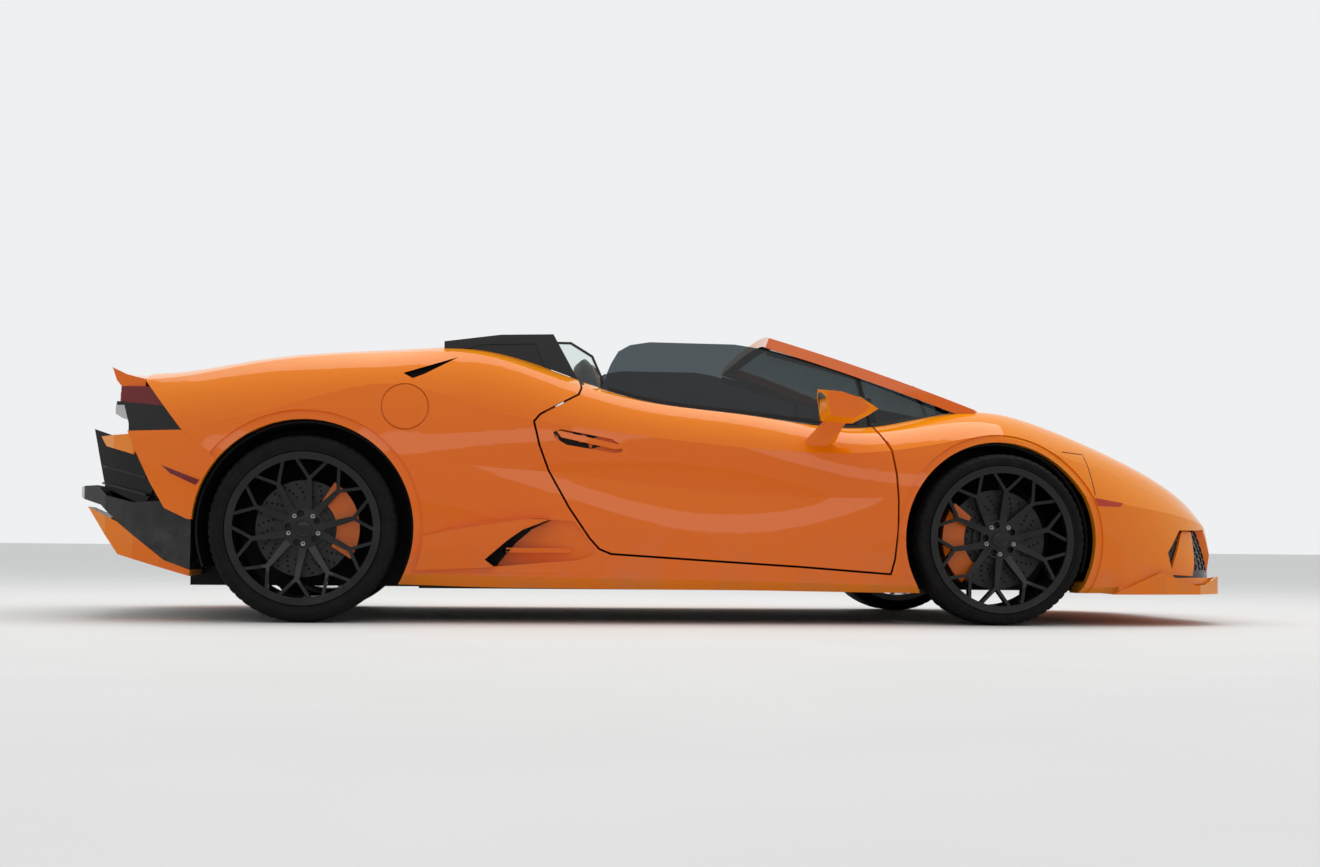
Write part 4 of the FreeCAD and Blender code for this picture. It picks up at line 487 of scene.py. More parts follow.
def laid_patch(bm, surface, outline, lift=0.0006, depth=0.003, step=0.012):
    """A plate that fills an outline and follows the surface under it, its rim turned down into it."""
    across, up = plane_axes(surface.way)
    flat = [(Vector(p).dot(across), Vector(p).dot(up)) for p in outline]
    base = Vector(outline[0])
    off = base - across * base.dot(across) - up * base.dot(up)
    work = bmesh.new()
    ring = [work.verts.new((a, b, 0.0)) for a, b in flat]
    work.faces.new(ring)
    spans = (min(a for a, b in flat), max(a for a, b in flat), min(b for a, b in flat),
             max(b for a, b in flat))
    for axis, low, high in ((0, spans[0], spans[1]), (1, spans[2], spans[3])):
        count = int((high - low) / step)
        for k in range(1, count + 1):
            value = low + (high - low) * k / (count + 1)
            cut = Vector((value, 0, 0)) if axis == 0 else Vector((0, value, 0))
            normal = Vector((1, 0, 0)) if axis == 0 else Vector((0, 1, 0))
            bmesh.ops.bisect_plane(work, geom=work.verts[:] + work.edges[:] + work.faces[:], plane_co=cut,
                                   plane_no=normal)
    lookup = {}
    for vertex in work.verts:
        place, normal = surface.meet(off + across * vertex.co.x + up * vertex.co.y)
        lookup[vertex] = None
        if place is not None:
            lookup[vertex] = (bm.verts.new(place + normal * lift), place - normal * depth)
    for face in work.faces:
        corners = [lookup[v] for v in face.verts]
        if all(corners):
            bm.faces.new([c[0] for c in corners])
    for edge in work.edges:
        if len(edge.link_faces) == 1:
            a, b = (lookup[v] for v in edge.verts)
            if a and b:
                low_a, low_b = bm.verts.new(a[1]), bm.verts.new(b[1])
                bm.faces.new((a[0], b[0], low_b, low_a))
    work.free()


def plane_axes(way):
    """Two axes square to a direction."""
    up = Vector((0, 0, 1)) if abs(way[2]) < 0.9 else Vector((0, 1, 0))
    across = Vector(way).cross(up).normalized()
    return across, up


def lathed(bm, profile, centre, out, segments, shape=None):
    """Turns a profile of radius and outward distance about a wheel's axle."""
    rings = []
    for k in range(segments):
        angle = math.tau * k / segments
        ring = []
        for index, (radius, along) in enumerate(profile):
            reach = shape(index, k, radius) if shape else radius
            ring.append(bm.verts.new((centre[0] + reach * math.cos(angle), centre[1] + out * along,
                                      centre[2] + reach * math.sin(angle))))
        rings.append(ring)
    for k in range(segments):
        a, b = rings[k], rings[(k + 1) % segments]
        for i in range(len(profile) - 1):
            bm.faces.new((a[i], a[i + 1], b[i + 1], b[i]))
    return rings


def tube(bm, path, radius, sides=8, closed=False):
    """A round bar along a path."""
    points = [Vector(p) for p in path]
    rings = []
    count = len(points)
    for index, point in enumerate(points):
        ahead = points[(index + 1) % count] if closed else points[min(index + 1, count - 1)]
        behind = points[index - 1] if closed else points[max(index - 1, 0)]
        along = (ahead - behind).normalized()
        side = along.cross(Vector((0, 0, 1)))
        if side.length < 0.1:
            side = along.cross(Vector((1, 0, 0)))
        side.normalize()
        up = side.cross(along)
        turns = [math.tau * k / sides for k in range(sides)]
        rings.append([bm.verts.new(point + (side * math.cos(turn) + up * math.sin(turn)) * radius)
                      for turn in turns])
    pairs = list(zip(rings, rings[1:]))
    if closed:
        pairs.append((rings[-1], rings[0]))
    for a, b in pairs:
        for k in range(sides):
            bm.faces.new((a[k], a[(k + 1) % sides], b[(k + 1) % sides], b[k]))
    if not closed:
        bm.faces.new(rings[0])
        bm.faces.new(list(reversed(rings[-1])))


def prism_between(bm, outline, low, high, place):
    """A solid plate with a chamfered rim: an outline in two coordinates, set between two depths."""
    rows = []
    for depth, shrink in ((low, 0.0), (high - 0.0015, 0.0), (high, 0.0015)):
        centre = Vector((sum(p[0] for p in outline) / len(outline),
                         sum(p[1] for p in outline) / len(outline)))
        row = []
        for p in outline:
            flat = Vector(p)
            inward = (centre - flat).normalized() * shrink
            row.append(bm.verts.new(place(flat + inward, depth)))
        rows.append(row)
    for a, b in zip(rows, rows[1:]):
        for k in range(len(outline)):
            j = (k + 1) % len(outline)
            bm.faces.new((a[k], a[j], b[j], b[k]))
    bm.faces.new(rows[0])
    bm.faces.new(list(reversed(rows[-1])))


WHEELS = [("front", "right", -1), ("front", "left", 1), ("rear", "right", -1), ("rear", "left", 1)]


def wheel_facts(end):
    """The axle's place, the tyre's radius and the half width of one wheel, in metres."""
    if end == "front":
        return FRONT_AXLE_X, FRONT_TYRE_R, FRONT_TYRE_W / 2, FRONT_FACE_Y - FRONT_TYRE_W / 2
    return REAR_AXLE_X, REAR_TYRE_R, REAR_TYRE_W / 2, REAR_FACE_Y - REAR_TYRE_W / 2


def body_of_wheel(end, hand):
    return "wheel_%s_%s" % (end, hand)


# Operators

class FinishOperator(bpy.types.Operator):
    """Gives every carried-over solid its finish from the record's slots"""
    bl_idname = "supercar.finishes"
    bl_label = "Finishes"

    def execute(self, context):
        slots = {part["node"]: part["material_slot"] for part in frame["record"]["subparts"]}
        for name, obj in frame["nodes"].items():
            obj.data.materials.clear()
            obj.data.materials.append(finish_of(slots[name]))
        return {"FINISHED"}


# Wheels

def tyre_profile(radius, half):
    """The tyre's outline from one bead over the tread's middle to the other, as radius and offset."""
    side = [(0.2630, half - 0.0134), (0.2812, half - 0.0134), (0.2830, half - 0.0080),
            (0.2860, half - 0.0052),
            (0.2890, half - 0.0062), (0.2915, half - 0.0040), (0.2950, half - 0.0036),
            (0.2960, half - 0.0022),
            (radius - 0.034, half - 0.0004), (radius - 0.027, half - 0.0006),
            (radius - 0.0262, half - 0.0018),
            (radius - 0.0245, half - 0.0018), (radius - 0.0237, half - 0.0012),
            (radius - 0.014, half - 0.0064),
            (radius - 0.0085, half - 0.0118), (radius - 0.0045, half - 0.0195),
            (radius - 0.0018, half - 0.032)]
    grooves = []
    for centre in TREAD_GROOVES:
        middle = centre * half
        grooves += [(radius - 0.0006, middle + 0.0050), (radius - 0.0062, middle + 0.0036),
                    (radius - 0.0062, middle - 0.0036), (radius - 0.0006, middle - 0.0050)]
    across = side + grooves
    return across + [(r, -y) for r, y in reversed(side)]


TREAD_GROOVES = (0.52, 0.18, -0.18, -0.52)
TREAD_COUNT = 64
TREAD_STEPS = 4


def tread_cut(profile):
    """Cross cuts in the shoulders, staggered from one side to the other."""
    last = len(profile) - 1

    def shape(index, k, reach):
        outer = index in (13, 14, 15, 16) or last - index in (13, 14, 15, 16)
        shift = 0 if index <= 16 else TREAD_STEPS // 2
        if outer and (k + shift) % TREAD_STEPS == 0:
            return reach - 0.0042
        return reach
    return shape


class TyreOperator(bpy.types.Operator):
    """Makes the four tyres with ribbed walls, grooves and shoulder cuts"""
    bl_idname = "supercar.tyres"
    bl_label = "Tyres"

    def execute(self, context):
        for end, hand, out in WHEELS:
            x, radius, half, middle = wheel_facts(end)
            bm = bmesh.new()
            profile = tyre_profile(radius, half)
            rings = lathed(bm, profile, (x, out * middle, radius), out, TREAD_COUNT * TREAD_STEPS,
                           tread_cut(profile))
            for k, ring in enumerate(rings):
                after = rings[(k + 1) % len(rings)]
                bm.faces.new((ring[0], after[0], after[-1], ring[-1]))
            obj = finished("tyre_%s_%s_tread" % (end, hand), body_of_wheel(end, hand), "tyre_rubber", bm)
            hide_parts("tyre_%s_%s" % (end, hand))
        return {"FINISHED"}


class WheelTrimOperator(bpy.types.Operator):
    """Adds wheel bolts, the plain centre cap, and disc vents as dark dots of painted shade"""
    bl_idname = "supercar.wheel_trim"
    bl_label = "Wheel trim"

    def execute(self, context):
        for end, hand, out in WHEELS:
            x, radius, half, middle = wheel_facts(end)
            body = body_of_wheel(end, hand)
            rim_face = Surface(["rim_%s_%s" % (end, hand)], (0, -out, 0))
            caps, bolts, vents = bmesh.new(), bmesh.new(), bmesh.new()
            hub, _ = rim_face.meet((x + 0.036, 0, radius))
            face = abs(hub.y) if hub else middle
            dome = [(0.0, face + 0.0075), (0.012, face + 0.0072), (0.022, face + 0.0058),
                    (0.0275, face + 0.0040),
                    (0.0285, face + 0.0052), (0.0310, face + 0.0052), (0.0322, face + 0.0030),
                    (0.0322, face - 0.004)]
            lathed(caps, dome, (x, 0.0, radius), out, 48)
            for k in range(BOLT_COUNT):
                angle = math.radians(90.0 + 36.0 + 72.0 * k)
                place = (x + BOLT_CIRCLE_R * math.cos(angle), 0.0, radius + BOLT_CIRCLE_R * math.sin(angle))
                floor, _ = rim_face.meet((place[0], 0, place[2]))
                depth = min(abs(floor.y), face - 0.006) if floor else face - 0.02
                bolt = [(0.0, depth + 0.0040), (0.0040, depth + 0.0040), (0.0046, depth + 0.0100),
                        (0.0083, depth + 0.0108), (0.0095, depth + 0.0096), (0.0098, depth + 0.0004),
                        (0.0118, depth - 0.0006), (0.0118, depth - 0.0050)]
                lathed(bolts, bolt, place, out, 6)
            finished("centre_cap_%s_%s" % (end, hand), body, "rim_black", caps)
            finished("wheel_bolts_%s_%s" % (end, hand), body, "bolt_steel", bolts, smooth=False)
            disc_face = Surface(["disc_%s_%s" % (end, hand)], (0, -out, 0))
            # Painted shade: the disc's holes are not cut. Each vent is a flat dark dot laid on the disc's
            # face that stands in for the shade inside a hole.
            for row, reach in enumerate(VENT_REACHES):
                if reach > DISC_R[end] - DISC_EDGE:
                    continue
                for k in range(VENT_COUNT):
                    angle = math.tau * (k + VENT_STAGGER * row) / VENT_COUNT
                    px, pz = x + reach * math.cos(angle), radius + reach * math.sin(angle)
                    place, _ = disc_face.meet((px, 0, pz))
                    if place is None:
                        continue
                    skin = abs(place.y)
                    ring = [(0.0, skin + 0.0001), (0.0034, skin + 0.0001), (0.0042, skin + 0.0006),
                            (0.0049, skin + 0.0001), (0.0049, skin - 0.001)]
                    lathed(vents, ring, (px, 0.0, pz), out, 8)
            finished("disc_vents_%s_%s" % (end, hand), body, "vent_dark", vents)
        return {"FINISHED"}


# Lines and trim laid on the body

def lay_both(name, body, finish, node_names, way, jobs, both=True):
    """Lays strips and plates on the right-hand side and, where it has a twin, on the left."""
    for side in ((-1, 1) if both else (-1,)):
        surface = Surface(node_names, (way[0], way[1] * -side, way[2]))
        bm = bmesh.new()
        for kind, points, values in jobs:
            placed = [(p[0], p[1] if side < 0 else -p[1], p[2]) for p in points]
            if kind == "strip":
                laid_strip(bm, surface, placed, **values)
            else:
                laid_patch(bm, surface, placed, **values)
        hand = "right" if side < 0 else "left"
        target = body % hand if "%s" in body else body
        finished("%s_%s" % (name, hand), target, finish, bm, smooth=False)


def on_side(points):
    """Points of a side view, as length and height in millimetres, in metres and in space."""
    return [(x * MM, 0.0, z * MM) for x, z in points]


FRONT_MARKER = [(1609, 489), (1730, 471), (1716, 457), (1618, 459)]
REAR_MARKER = [(-1891, 567), (-1751, 514), (-1765, 496), (-1858, 538)]
BLADE_LINING = [(-479, 380), (-543, 349), (-604, 296), (-664, 223), (-670, 213), (-690, 210), (-719, 235),
                (-635, 308), (-581, 346), (-487, 384)]
HINGE_CAP = [(730, 550), (768, 550), (768, 592), (730, 592)]
DECK_SLOT = [(-1034, 926), (-994, 901), (-948, 920), (-818, 999)]
HANDLE_POCKET = [(-474, 712), (-440, 726), (-300, 700), (-300, 654), (-420, 660)]
HANDLE_BAR = [(-462, 718), (-444, 718), (-236, 674), (-240, 648), (-440, 690)]


class BodyLineOperator(bpy.types.Operator):
    """Lays the seams, marker lamps and black linings on the body sides"""
    bl_idname = "supercar.body_lines"
    bl_label = "Body lines"

    def execute(self, context):
        seam = {"width": 0.0035, "lift": 0.0002}
        lay_both("bumper_seams", "chassis", "seam_dark", ["front_bumper", "front_fenders"], (0, 1, 0),
                 [("strip", on_side([(1500, 668), (1600, 661), (1607, 600), (1612, 500)]), seam)])
        lay_both("front_markers", "chassis", "lamp_amber", ["front_bumper", "front_fenders"], (0, 1, 0),
                 [("patch", on_side(FRONT_MARKER), {"lift": 0.0015})])
        lay_both("rear_markers", "chassis", "lamp_red", ["rear_bumper", "rear_quarters"], (0, 1, 0),
                 [("patch", on_side(REAR_MARKER), {"lift": 0.0015})])
        lay_both("blade_linings", "chassis", "vent_dark", ["rear_quarters"], (0, 1, 0),
                 [("patch", on_side(BLADE_LINING), {"lift": 0.0012, "step": 0.008})])
        lay_both("door_skin_caps", "door_%s", "body_paint", ["door_right", "door_left"], (0, 1, 0),
                 [("patch", on_side(HINGE_CAP), {"lift": 0.0005, "step": 1.0})])
        return {"FINISHED"}


# Cabin

# Seat spine from the cushion's front to the head: length, height, half width, bolster height, thickness
SEAT_SPINE = [
    (0.196, 0.300, 0.196, 0.012, 0.085), (0.186, 0.319, 0.204, 0.022, 0.105),
    (0.140, 0.318, 0.210, 0.036, 0.115),
    (0.060, 0.311, 0.212, 0.042, 0.115), (-0.040, 0.303, 0.212, 0.046, 0.115),
    (-0.110, 0.306, 0.212, 0.052, 0.110),
    (-0.143, 0.345, 0.212, 0.056, 0.105), (-0.160, 0.430, 0.212, 0.062, 0.095),
    (-0.184, 0.540, 0.212, 0.070, 0.090),
    (-0.212, 0.650, 0.210, 0.066, 0.086), (-0.238, 0.760, 0.200, 0.048, 0.082),
    (-0.258, 0.840, 0.168, 0.030, 0.078),
    (-0.276, 0.905, 0.134, 0.020, 0.076), (-0.292, 0.965, 0.126, 0.014, 0.070),
    (-0.308, 1.010, 0.118, 0.008, 0.062),
    (-0.326, 1.036, 0.100, 0.002, 0.044),
]
SEAT_MIDDLE_Y = 0.372
SEAT_ACROSS = 26
# Pads: first and last place along the spine, share of the width, crown, channels
SEAT_PADS = {"cushion_pad": (1.1, 5.2, 0.60, 0.020, 0), "back_pad": (6.3, 10.9, 0.58, 0.018, 6),
             "head_pad": (11.5, 14.2, 0.74, 0.014, 0)}
PAD_VOXEL = 0.006
PAD_CAP = 0.010


def spine_at(place):
    """A point of the seat's spine with its tangent, normal and sizes, between the listed stations."""
    last = len(SEAT_SPINE) - 1
    place = min(max(place, 0.0), last - 0.0001)
    index = int(place)
    share = place - index
    a, b = SEAT_SPINE[index], SEAT_SPINE[index + 1]
    x, z, half, bolster, thick = (p + (q - p) * share for p, q in zip(a, b))
    before, after = SEAT_SPINE[max(index - 1, 0)], SEAT_SPINE[min(index + 2, last)]
    first = Vector((b[0] - before[0], b[1] - before[1])).normalized()
    second = Vector((after[0] - a[0], after[1] - a[1])).normalized()
    along = first.lerp(second, share).normalized()
    normal = Vector((along.y, -along.x))
    return Vector((x, z)), normal, half, bolster, thick


def eased(value):
    value = min(max(value, 0.0), 1.0)
    return value * value * (3 - 2 * value)


def seat_point(place, across, lift, side):
    """A point on the seat, at a share of the half width and a height over the spine."""
    base, normal, half, _, _ = spine_at(place)
    at = base + normal * lift
    return Vector((at.x, side * (SEAT_MIDDLE_Y + across * half), at.y))


def bolster_lift(place, across):
    _, _, _, bolster, _ = spine_at(place)
    u = abs(across)
    fall = 0.55 * bolster * eased((u - 0.88) / 0.12)
    return bolster * eased((u - 0.58) / 0.22) - fall - 0.012 * eased((u - 0.9) / 0.1)


def seat_shell(side):
    """The bucket with its bolsters, closed behind."""
    bm = bmesh.new()
    steps = 3 * (len(SEAT_SPINE) - 1)
    front, back = [], []
    for i in range(steps + 1):
        place = i / 3
        _, _, _, _, thick = spine_at(place)
        front.append([bm.verts.new(seat_point(place, u, bolster_lift(place, u),
                                              side)) for u in across_steps()])
        back.append([bm.verts.new(seat_point(place, u * (1 - 0.06 * abs(u)), -thick * (1 - 0.45 * u * u),
                                             side))
                     for u in across_steps()])
    for rows in (front, back):
        for a, b in zip(rows, rows[1:]):
            for k in range(len(a) - 1):
                bm.faces.new((a[k], a[k + 1], b[k + 1], b[k]))
    for end in (0, -1):
        for a, b in zip(zip(front, back), list(zip(front, back))[1:]):
            bm.faces.new((a[0][end], b[0][end], b[1][end], a[1][end]))
        for k in range(SEAT_ACROSS):
            bm.faces.new((front[end][k], front[end][k + 1], back[end][k + 1], back[end][k]))
    return bm


def across_steps():
    return [-1 + 2 * k / SEAT_ACROSS for k in range(SEAT_ACROSS + 1)]


def seat_pad(first, last, share, crown):
    """A closed crowned pad that lies in the bucket, for the left-hand seat."""
    bm = bmesh.new()
    rows, columns = 30, 18
    top, low = [], []
    for i in range(rows + 1):
        v = -1 + 2 * i / rows
        place = first + (last - first) * i / rows
        upper, under = [], []
        for k in range(columns + 1):
            u = -1 + 2 * k / columns
            rim = (1 - u ** 6) * (1 - v ** 6)
            waist = share * (1 - 0.05 * (1 - v * v))
            upper.append(bm.verts.new(seat_point(place, u * waist, 0.004 + crown * rim ** 0.5, 1)))
            under.append(bm.verts.new(seat_point(place, u * waist, 0.001, 1)))
        top.append(upper)
        low.append(under)
    for rows_of in (top, low):
        for a, b in zip(rows_of, rows_of[1:]):
            for k in range(columns):
                bm.faces.new((a[k], a[k + 1], b[k + 1], b[k]))
    for end in (0, -1):
        for i in range(rows):
            bm.faces.new((top[i][end], top[i + 1][end], low[i + 1][end], low[i][end]))
        for k in range(columns):
            bm.faces.new((top[end][k], top[end][k + 1], low[end][k + 1], low[end][k]))
    bmesh.ops.recalc_face_normals(bm, faces=bm.faces)
    return bm


def settled(obj):
    """The object's mesh with its modifiers worked out, as a new mesh."""
    graph = bpy.context.evaluated_depsgraph_get()
    return bpy.data.meshes.new_from_object(obj.evaluated_get(graph), depsgraph=graph)


def swelled(mesh, name):
    """A pad's mesh remeshed and blown up as cloth, each point moved no further than the cap."""
    obj = bpy.data.objects.new(name, mesh)
    bpy.context.collection.objects.link(obj)
    remesh = obj.modifiers.new("even", "REMESH")
    remesh.mode, remesh.voxel_size = "VOXEL", PAD_VOXEL
    obj.data = settled(obj)
    obj.modifiers.clear()
    start = [vertex.co.copy() for vertex in obj.data.vertices]
    cloth = obj.modifiers.new("cloth", "CLOTH")
    cloth.settings.quality = 5
    cloth.settings.mass = 0.3
    cloth.settings.use_pressure = True
    cloth.settings.uniform_pressure_force = 4.0
    cloth.settings.effector_weights.gravity = 0.0
    cloth.collision_settings.use_collision = False
    scene = bpy.context.scene
    for step in range(1, 21):
        scene.frame_set(step)
    swollen = settled(obj)
    scene.frame_set(1)
    obj.modifiers.clear()
    for vertex, before, after in zip(obj.data.vertices, start, swollen.vertices):
        move = after.co - before
        if move.length > PAD_CAP:
            move = move.normalized() * PAD_CAP
        vertex.co = before + move
    smooth = obj.modifiers.new("subdivision", "SUBSURF")
    smooth.levels = smooth.render_levels = 1
    result = settled(obj)
    bpy.data.objects.remove(obj)
    return result


def channelled(mesh, first, last, count):
    """Sewn channels pressed across a pad, evenly along it."""
    lines = [spine_at(first + (last - first) * (k + 1) / (count + 1)) for k in range(count)]
    for vertex in mesh.vertices:
        flat = Vector((vertex.co.x, vertex.co.z))
        for base, normal, _, _, _ in lines:
            along = Vector((-normal.y, normal.x))
            off = (flat - base).dot(along)
            if abs(off) < 0.016:
                dip = 0.0055 * (1 - abs(off) / 0.016) ** 2
                vertex.co.x -= normal.x * dip
                vertex.co.z -= normal.y * dip


class SeatOperator(bpy.types.Operator):
    """Makes the two bucket seats: shells, blown pads, piping and rails"""
    bl_idname = "supercar.seats"
    bl_label = "Seats"

    def execute(self, context):
        for name, (first, last, share, crown, channels) in SEAT_PADS.items():
            bm = seat_pad(first, last, share, crown)
            mesh = bpy.data.meshes.new(name)
            bm.to_mesh(mesh)
            bm.free()
            mesh = swelled(mesh, name)
            if channels:
                channelled(mesh, first, last, channels)
            for side, hand in ((1, "left"), (-1, "right")):
                copy = mesh.copy()
                if side < 0:
                    for vertex in copy.vertices:
                        vertex.co.y = -vertex.co.y
                    copy.flip_normals()
                for polygon in copy.polygons:
                    polygon.use_smooth = True
                obj = bpy.data.objects.new("%s_%s" % (name, hand), copy)
                context.collection.objects.link(obj)
                face_to(obj, "seat_centre")
                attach(obj, "chassis")
        for side, hand in ((1, "left"), (-1, "right")):
            shell = finished("seat_bucket_" + hand, "chassis", "seat_leather", seat_shell(side))
            soften(shell, 1)
            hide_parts("seat_" + hand)
            piping = bmesh.new()
            for edge in (-0.80, 0.80):
                path = [seat_point(p / 4, edge, bolster_lift(p / 4, edge) + 0.0012, side)
                        for p in range(6, 56)]
                tube(piping, path, 0.0021, 6)
            finished("seat_piping_" + hand, "chassis", "stitch_orange", piping)
            rails = bmesh.new()
            for across in (-0.62, 0.62):
                y = side * (SEAT_MIDDLE_Y + across * 0.2)
                outline = [(-0.24, 0.1365), (0.17, 0.1365), (0.185, 0.150), (0.16, 0.200), (-0.12, 0.200),
                           (-0.24, 0.160)]
                prism_between(rails, outline, y - 0.016, y + 0.016, 
                              lambda flat, depth: (flat.x, depth, flat.y))
            finished("seat_rails_" + hand, "chassis", "cabin_black", rails, smooth=False)
        return {"FINISHED"}


def soften(obj, levels):
    """One or more subdivisions, which round a piece."""
    smooth = obj.modifiers.new("subdivision", "SUBSURF")
    smooth.levels = smooth.render_levels = levels


# Doors, dash and console

# Inner door panel outline, length and height, and the armrest on it
DOOR_CARD = [(-300, 330), (-330, 520), (-300, 700), (-180, 770), (120, 770), (480, 752), (690, 730),
             (715, 600),
             (712, 320), (600, 262), (0, 262)]
ARMREST = [(-150, 560), (-150, 610), (120, 622), (360, 606), (470, 560), (360, 536), (0, 530)]
PULL_BAR = [(180, 622), (240, 668), (360, 676), (440, 640), (470, 588)]


class DoorCardOperator(bpy.types.Operator):
    """Lines the doors with a grained card, an armrest and a pull bar"""
    bl_idname = "supercar.door_cards"
    bl_label = "Door cards"

    def execute(self, context):
        for side, hand in ((-1, "right"), (1, "left")):
            inside = Surface(["door_" + hand], (0, side, 0), 0.0)
            body = "door_" + hand
            card, rest, line = bmesh.new(), bmesh.new(), bmesh.new()
            laid_patch(card, inside, on_side(DOOR_CARD), lift=0.0035, depth=0.001, step=0.02)
            finished("door_card_" + hand, body, "cabin_grain", card, smooth=False)
            laid_patch(rest, inside, on_side(ARMREST), lift=0.030, depth=0.001, step=0.02)
            soften(finished("door_armrest_" + hand, body, "seat_leather", rest), 1)
            pull = []
            for x, z in PULL_BAR:
                place, normal = inside.meet((x * MM, 0, z * MM))
                if place is not None:
                    pull.append(place + normal * 0.034)
            if len(pull) > 2:
                tube(line, [pull[0] - Vector((0, -side * -0.030, 0))] + pull, 0.009, 10)
            finished("door_pull_" + hand, body, "bar_alloy", line)
        return {"FINISHED"}


# Lamps, glass trim, grilles and cabin detail

def from_above(points):
    """Points of a plan view, as length and width in millimetres, in metres and in space."""
    return [(x * MM, y * MM, 0.0) for x, y in points]


def from_behind(points):
    """Points of a rear view, as width and height in millimetres, in metres and in space."""
    return [(0.0, y * MM, z * MM) for y, z in points]


HEADLAMP_LIGHTS = [[(1795, -505), (1880, -470), (1985, -430)], [(1880, -470), (1950, -505)],
                   [(1880, -470), (1900, -425)]]
HEADLAMP_LENSES = [(1830, -470), (1925, -445), (1990, -405)]
TAIL_LIGHTS = [[(-780, 826), (-640, 832), (-470, 838)], [(-640, 832), (-600, 850)],
               [(-700, 829), (-670, 812)],
               [(-540, 835), (-510, 816)]]


class LampOperator(bpy.types.Operator):
    """Lays the light bars and lenses in the head and tail lamps"""
    bl_idname = "supercar.lamps"
    bl_label = "Lamps"

    def execute(self, context):
        bar = {"width": 0.007, "lift": 0.0015}
        lay_both("headlamp_bars", "chassis", "lamp_white", ["headlamps"], (0, 0, -1),
                 [("strip", from_above(path), bar) for path in HEADLAMP_LIGHTS])
        rings = []
        for x, y in HEADLAMP_LENSES:
            circle = [(x + 17 * math.cos(math.tau * k / 16),
                       y + 17 * math.sin(math.tau * k / 16)) for k in range(16)]
            rings.append(("patch", from_above(circle), {"lift": 0.002, "step": 0.02}))
        lay_both("headlamp_lenses", "chassis", "lens_smoke", ["headlamps"], (0, 0, -1), rings)
        lay_both("tail_lamp_bars", "chassis", "lamp_glow_red", ["tail_lamps"], (1, 0, 0),
                 [("strip", from_behind(path), {"width": 0.009, "lift": 0.0015}) for path in TAIL_LIGHTS])
        return {"FINISHED"}


QUARTER_DIVIDER = [(786, 762), (760, 950)]
# Rubber channel behind the door glass's edge, and the plane of the glass's outer face
GLASS_CHANNELS = ([(384, 1046), (500, 1016), (742, 948), (742, 970), (500, 1042), (384, 1072)],
                  [(757, 752), (781, 752), (753, 960), (729, 960)])
GLASS_FOOT_Z = 0.755
GLASS_FOOT_Y = 0.756
GLASS_LEAN = 0.476
CHANNEL_DEPTHS = (0.009, 0.013)
BELT_REAR_X = -0.250
BELT_FRONT_X = 0.720
NOSE_PLATE = [(2012, 352), (1940, 196), (2056, 190), (2070, 235), (2076, 362), (2022, 364)]
WIPER_RIGHT = [(1225, -120), (1120, -330), (1010, -470)]
WIPER_LEFT = [(1235, 180), (1150, -60), (1060, -250)]


def glass_y(height):
    """How far from the car's middle the door glass's outer face stands at a height."""
    return GLASS_FOOT_Y - GLASS_LEAN * (height - GLASS_FOOT_Z)


def belt_line(hand, side):
    """Points just over the door's top edge as seen from beside the car."""
    door = Surface(["door_" + hand], (0, -side, 0))
    points = []
    for k in range(25):
        x = BELT_REAR_X + (BELT_FRONT_X - BELT_REAR_X) * k / 24
        height = 1.0
        while height > 0.7 and door.meet(Vector((x, 0.0, height)))[0] is None:
            height -= 0.002
        points.append((x, 0.0, height + 0.008))
    return points


class GlassTrimOperator(bpy.types.Operator):
    """Adds rubber strips, the divider, wipers, and the mirrors' glass"""
    bl_idname = "supercar.glass_trim"
    bl_label = "Glass trim"

    def execute(self, context):
        lay_both("quarter_dividers", "chassis", "rubber_black", ["quarter_glass"], (0, 1, 0),
                 [("strip", on_side(QUARTER_DIVIDER), {"width": 0.026, "lift": 0.002})])
        for side, hand in ((-1, "right"), (1, "left")):
            channel = bmesh.new()
            for outline in GLASS_CHANNELS:
                prism_between(channel, [(x * MM, z * MM) for x, z in outline], *CHANNEL_DEPTHS,
                              lambda p, depth: Vector((p.x, side * (glass_y(p.y) - depth), p.y)))
            finished("glass_channels_" + hand, "chassis", "rubber_black", channel, smooth=False)
            strip = bmesh.new()
            laid_strip(strip, Surface(["side_glass_" + hand], (0, -side, 0)), belt_line(hand, side), 0.012,
                       lift=0.0015, depth=0.002)
            finished("belt_strip_" + hand, "door_" + hand, "rubber_black", strip, smooth=False)
        glass = Surface(["windscreen_glass", "windscreen_frame"], (0, 0, -1))
        bm = bmesh.new()
        for path in (WIPER_RIGHT, WIPER_LEFT):
            laid_strip(bm, glass, from_above(path), 0.012, lift=0.010, depth=-0.003)
        finished("wipers", "chassis", "rubber_black", bm, smooth=False)
        for side, hand in ((-1, "right"), (1, "left")):
            back = Surface(["mirror_" + hand], (1, 0, 0))
            outline = [(side * y, z) for y, z in (
                       (1090, 795), (1100, 845), (1060, 866), (940, 862), (915, 820),
                                                  (935, 790))]
            plate = bmesh.new()
            laid_patch(plate, back, from_behind(outline), lift=0.001, depth=0.002, step=0.02)
            finished("mirror_glass_" + hand, "door_" + hand, "mirror_silver", plate, smooth=False)
        return {"FINISHED"}


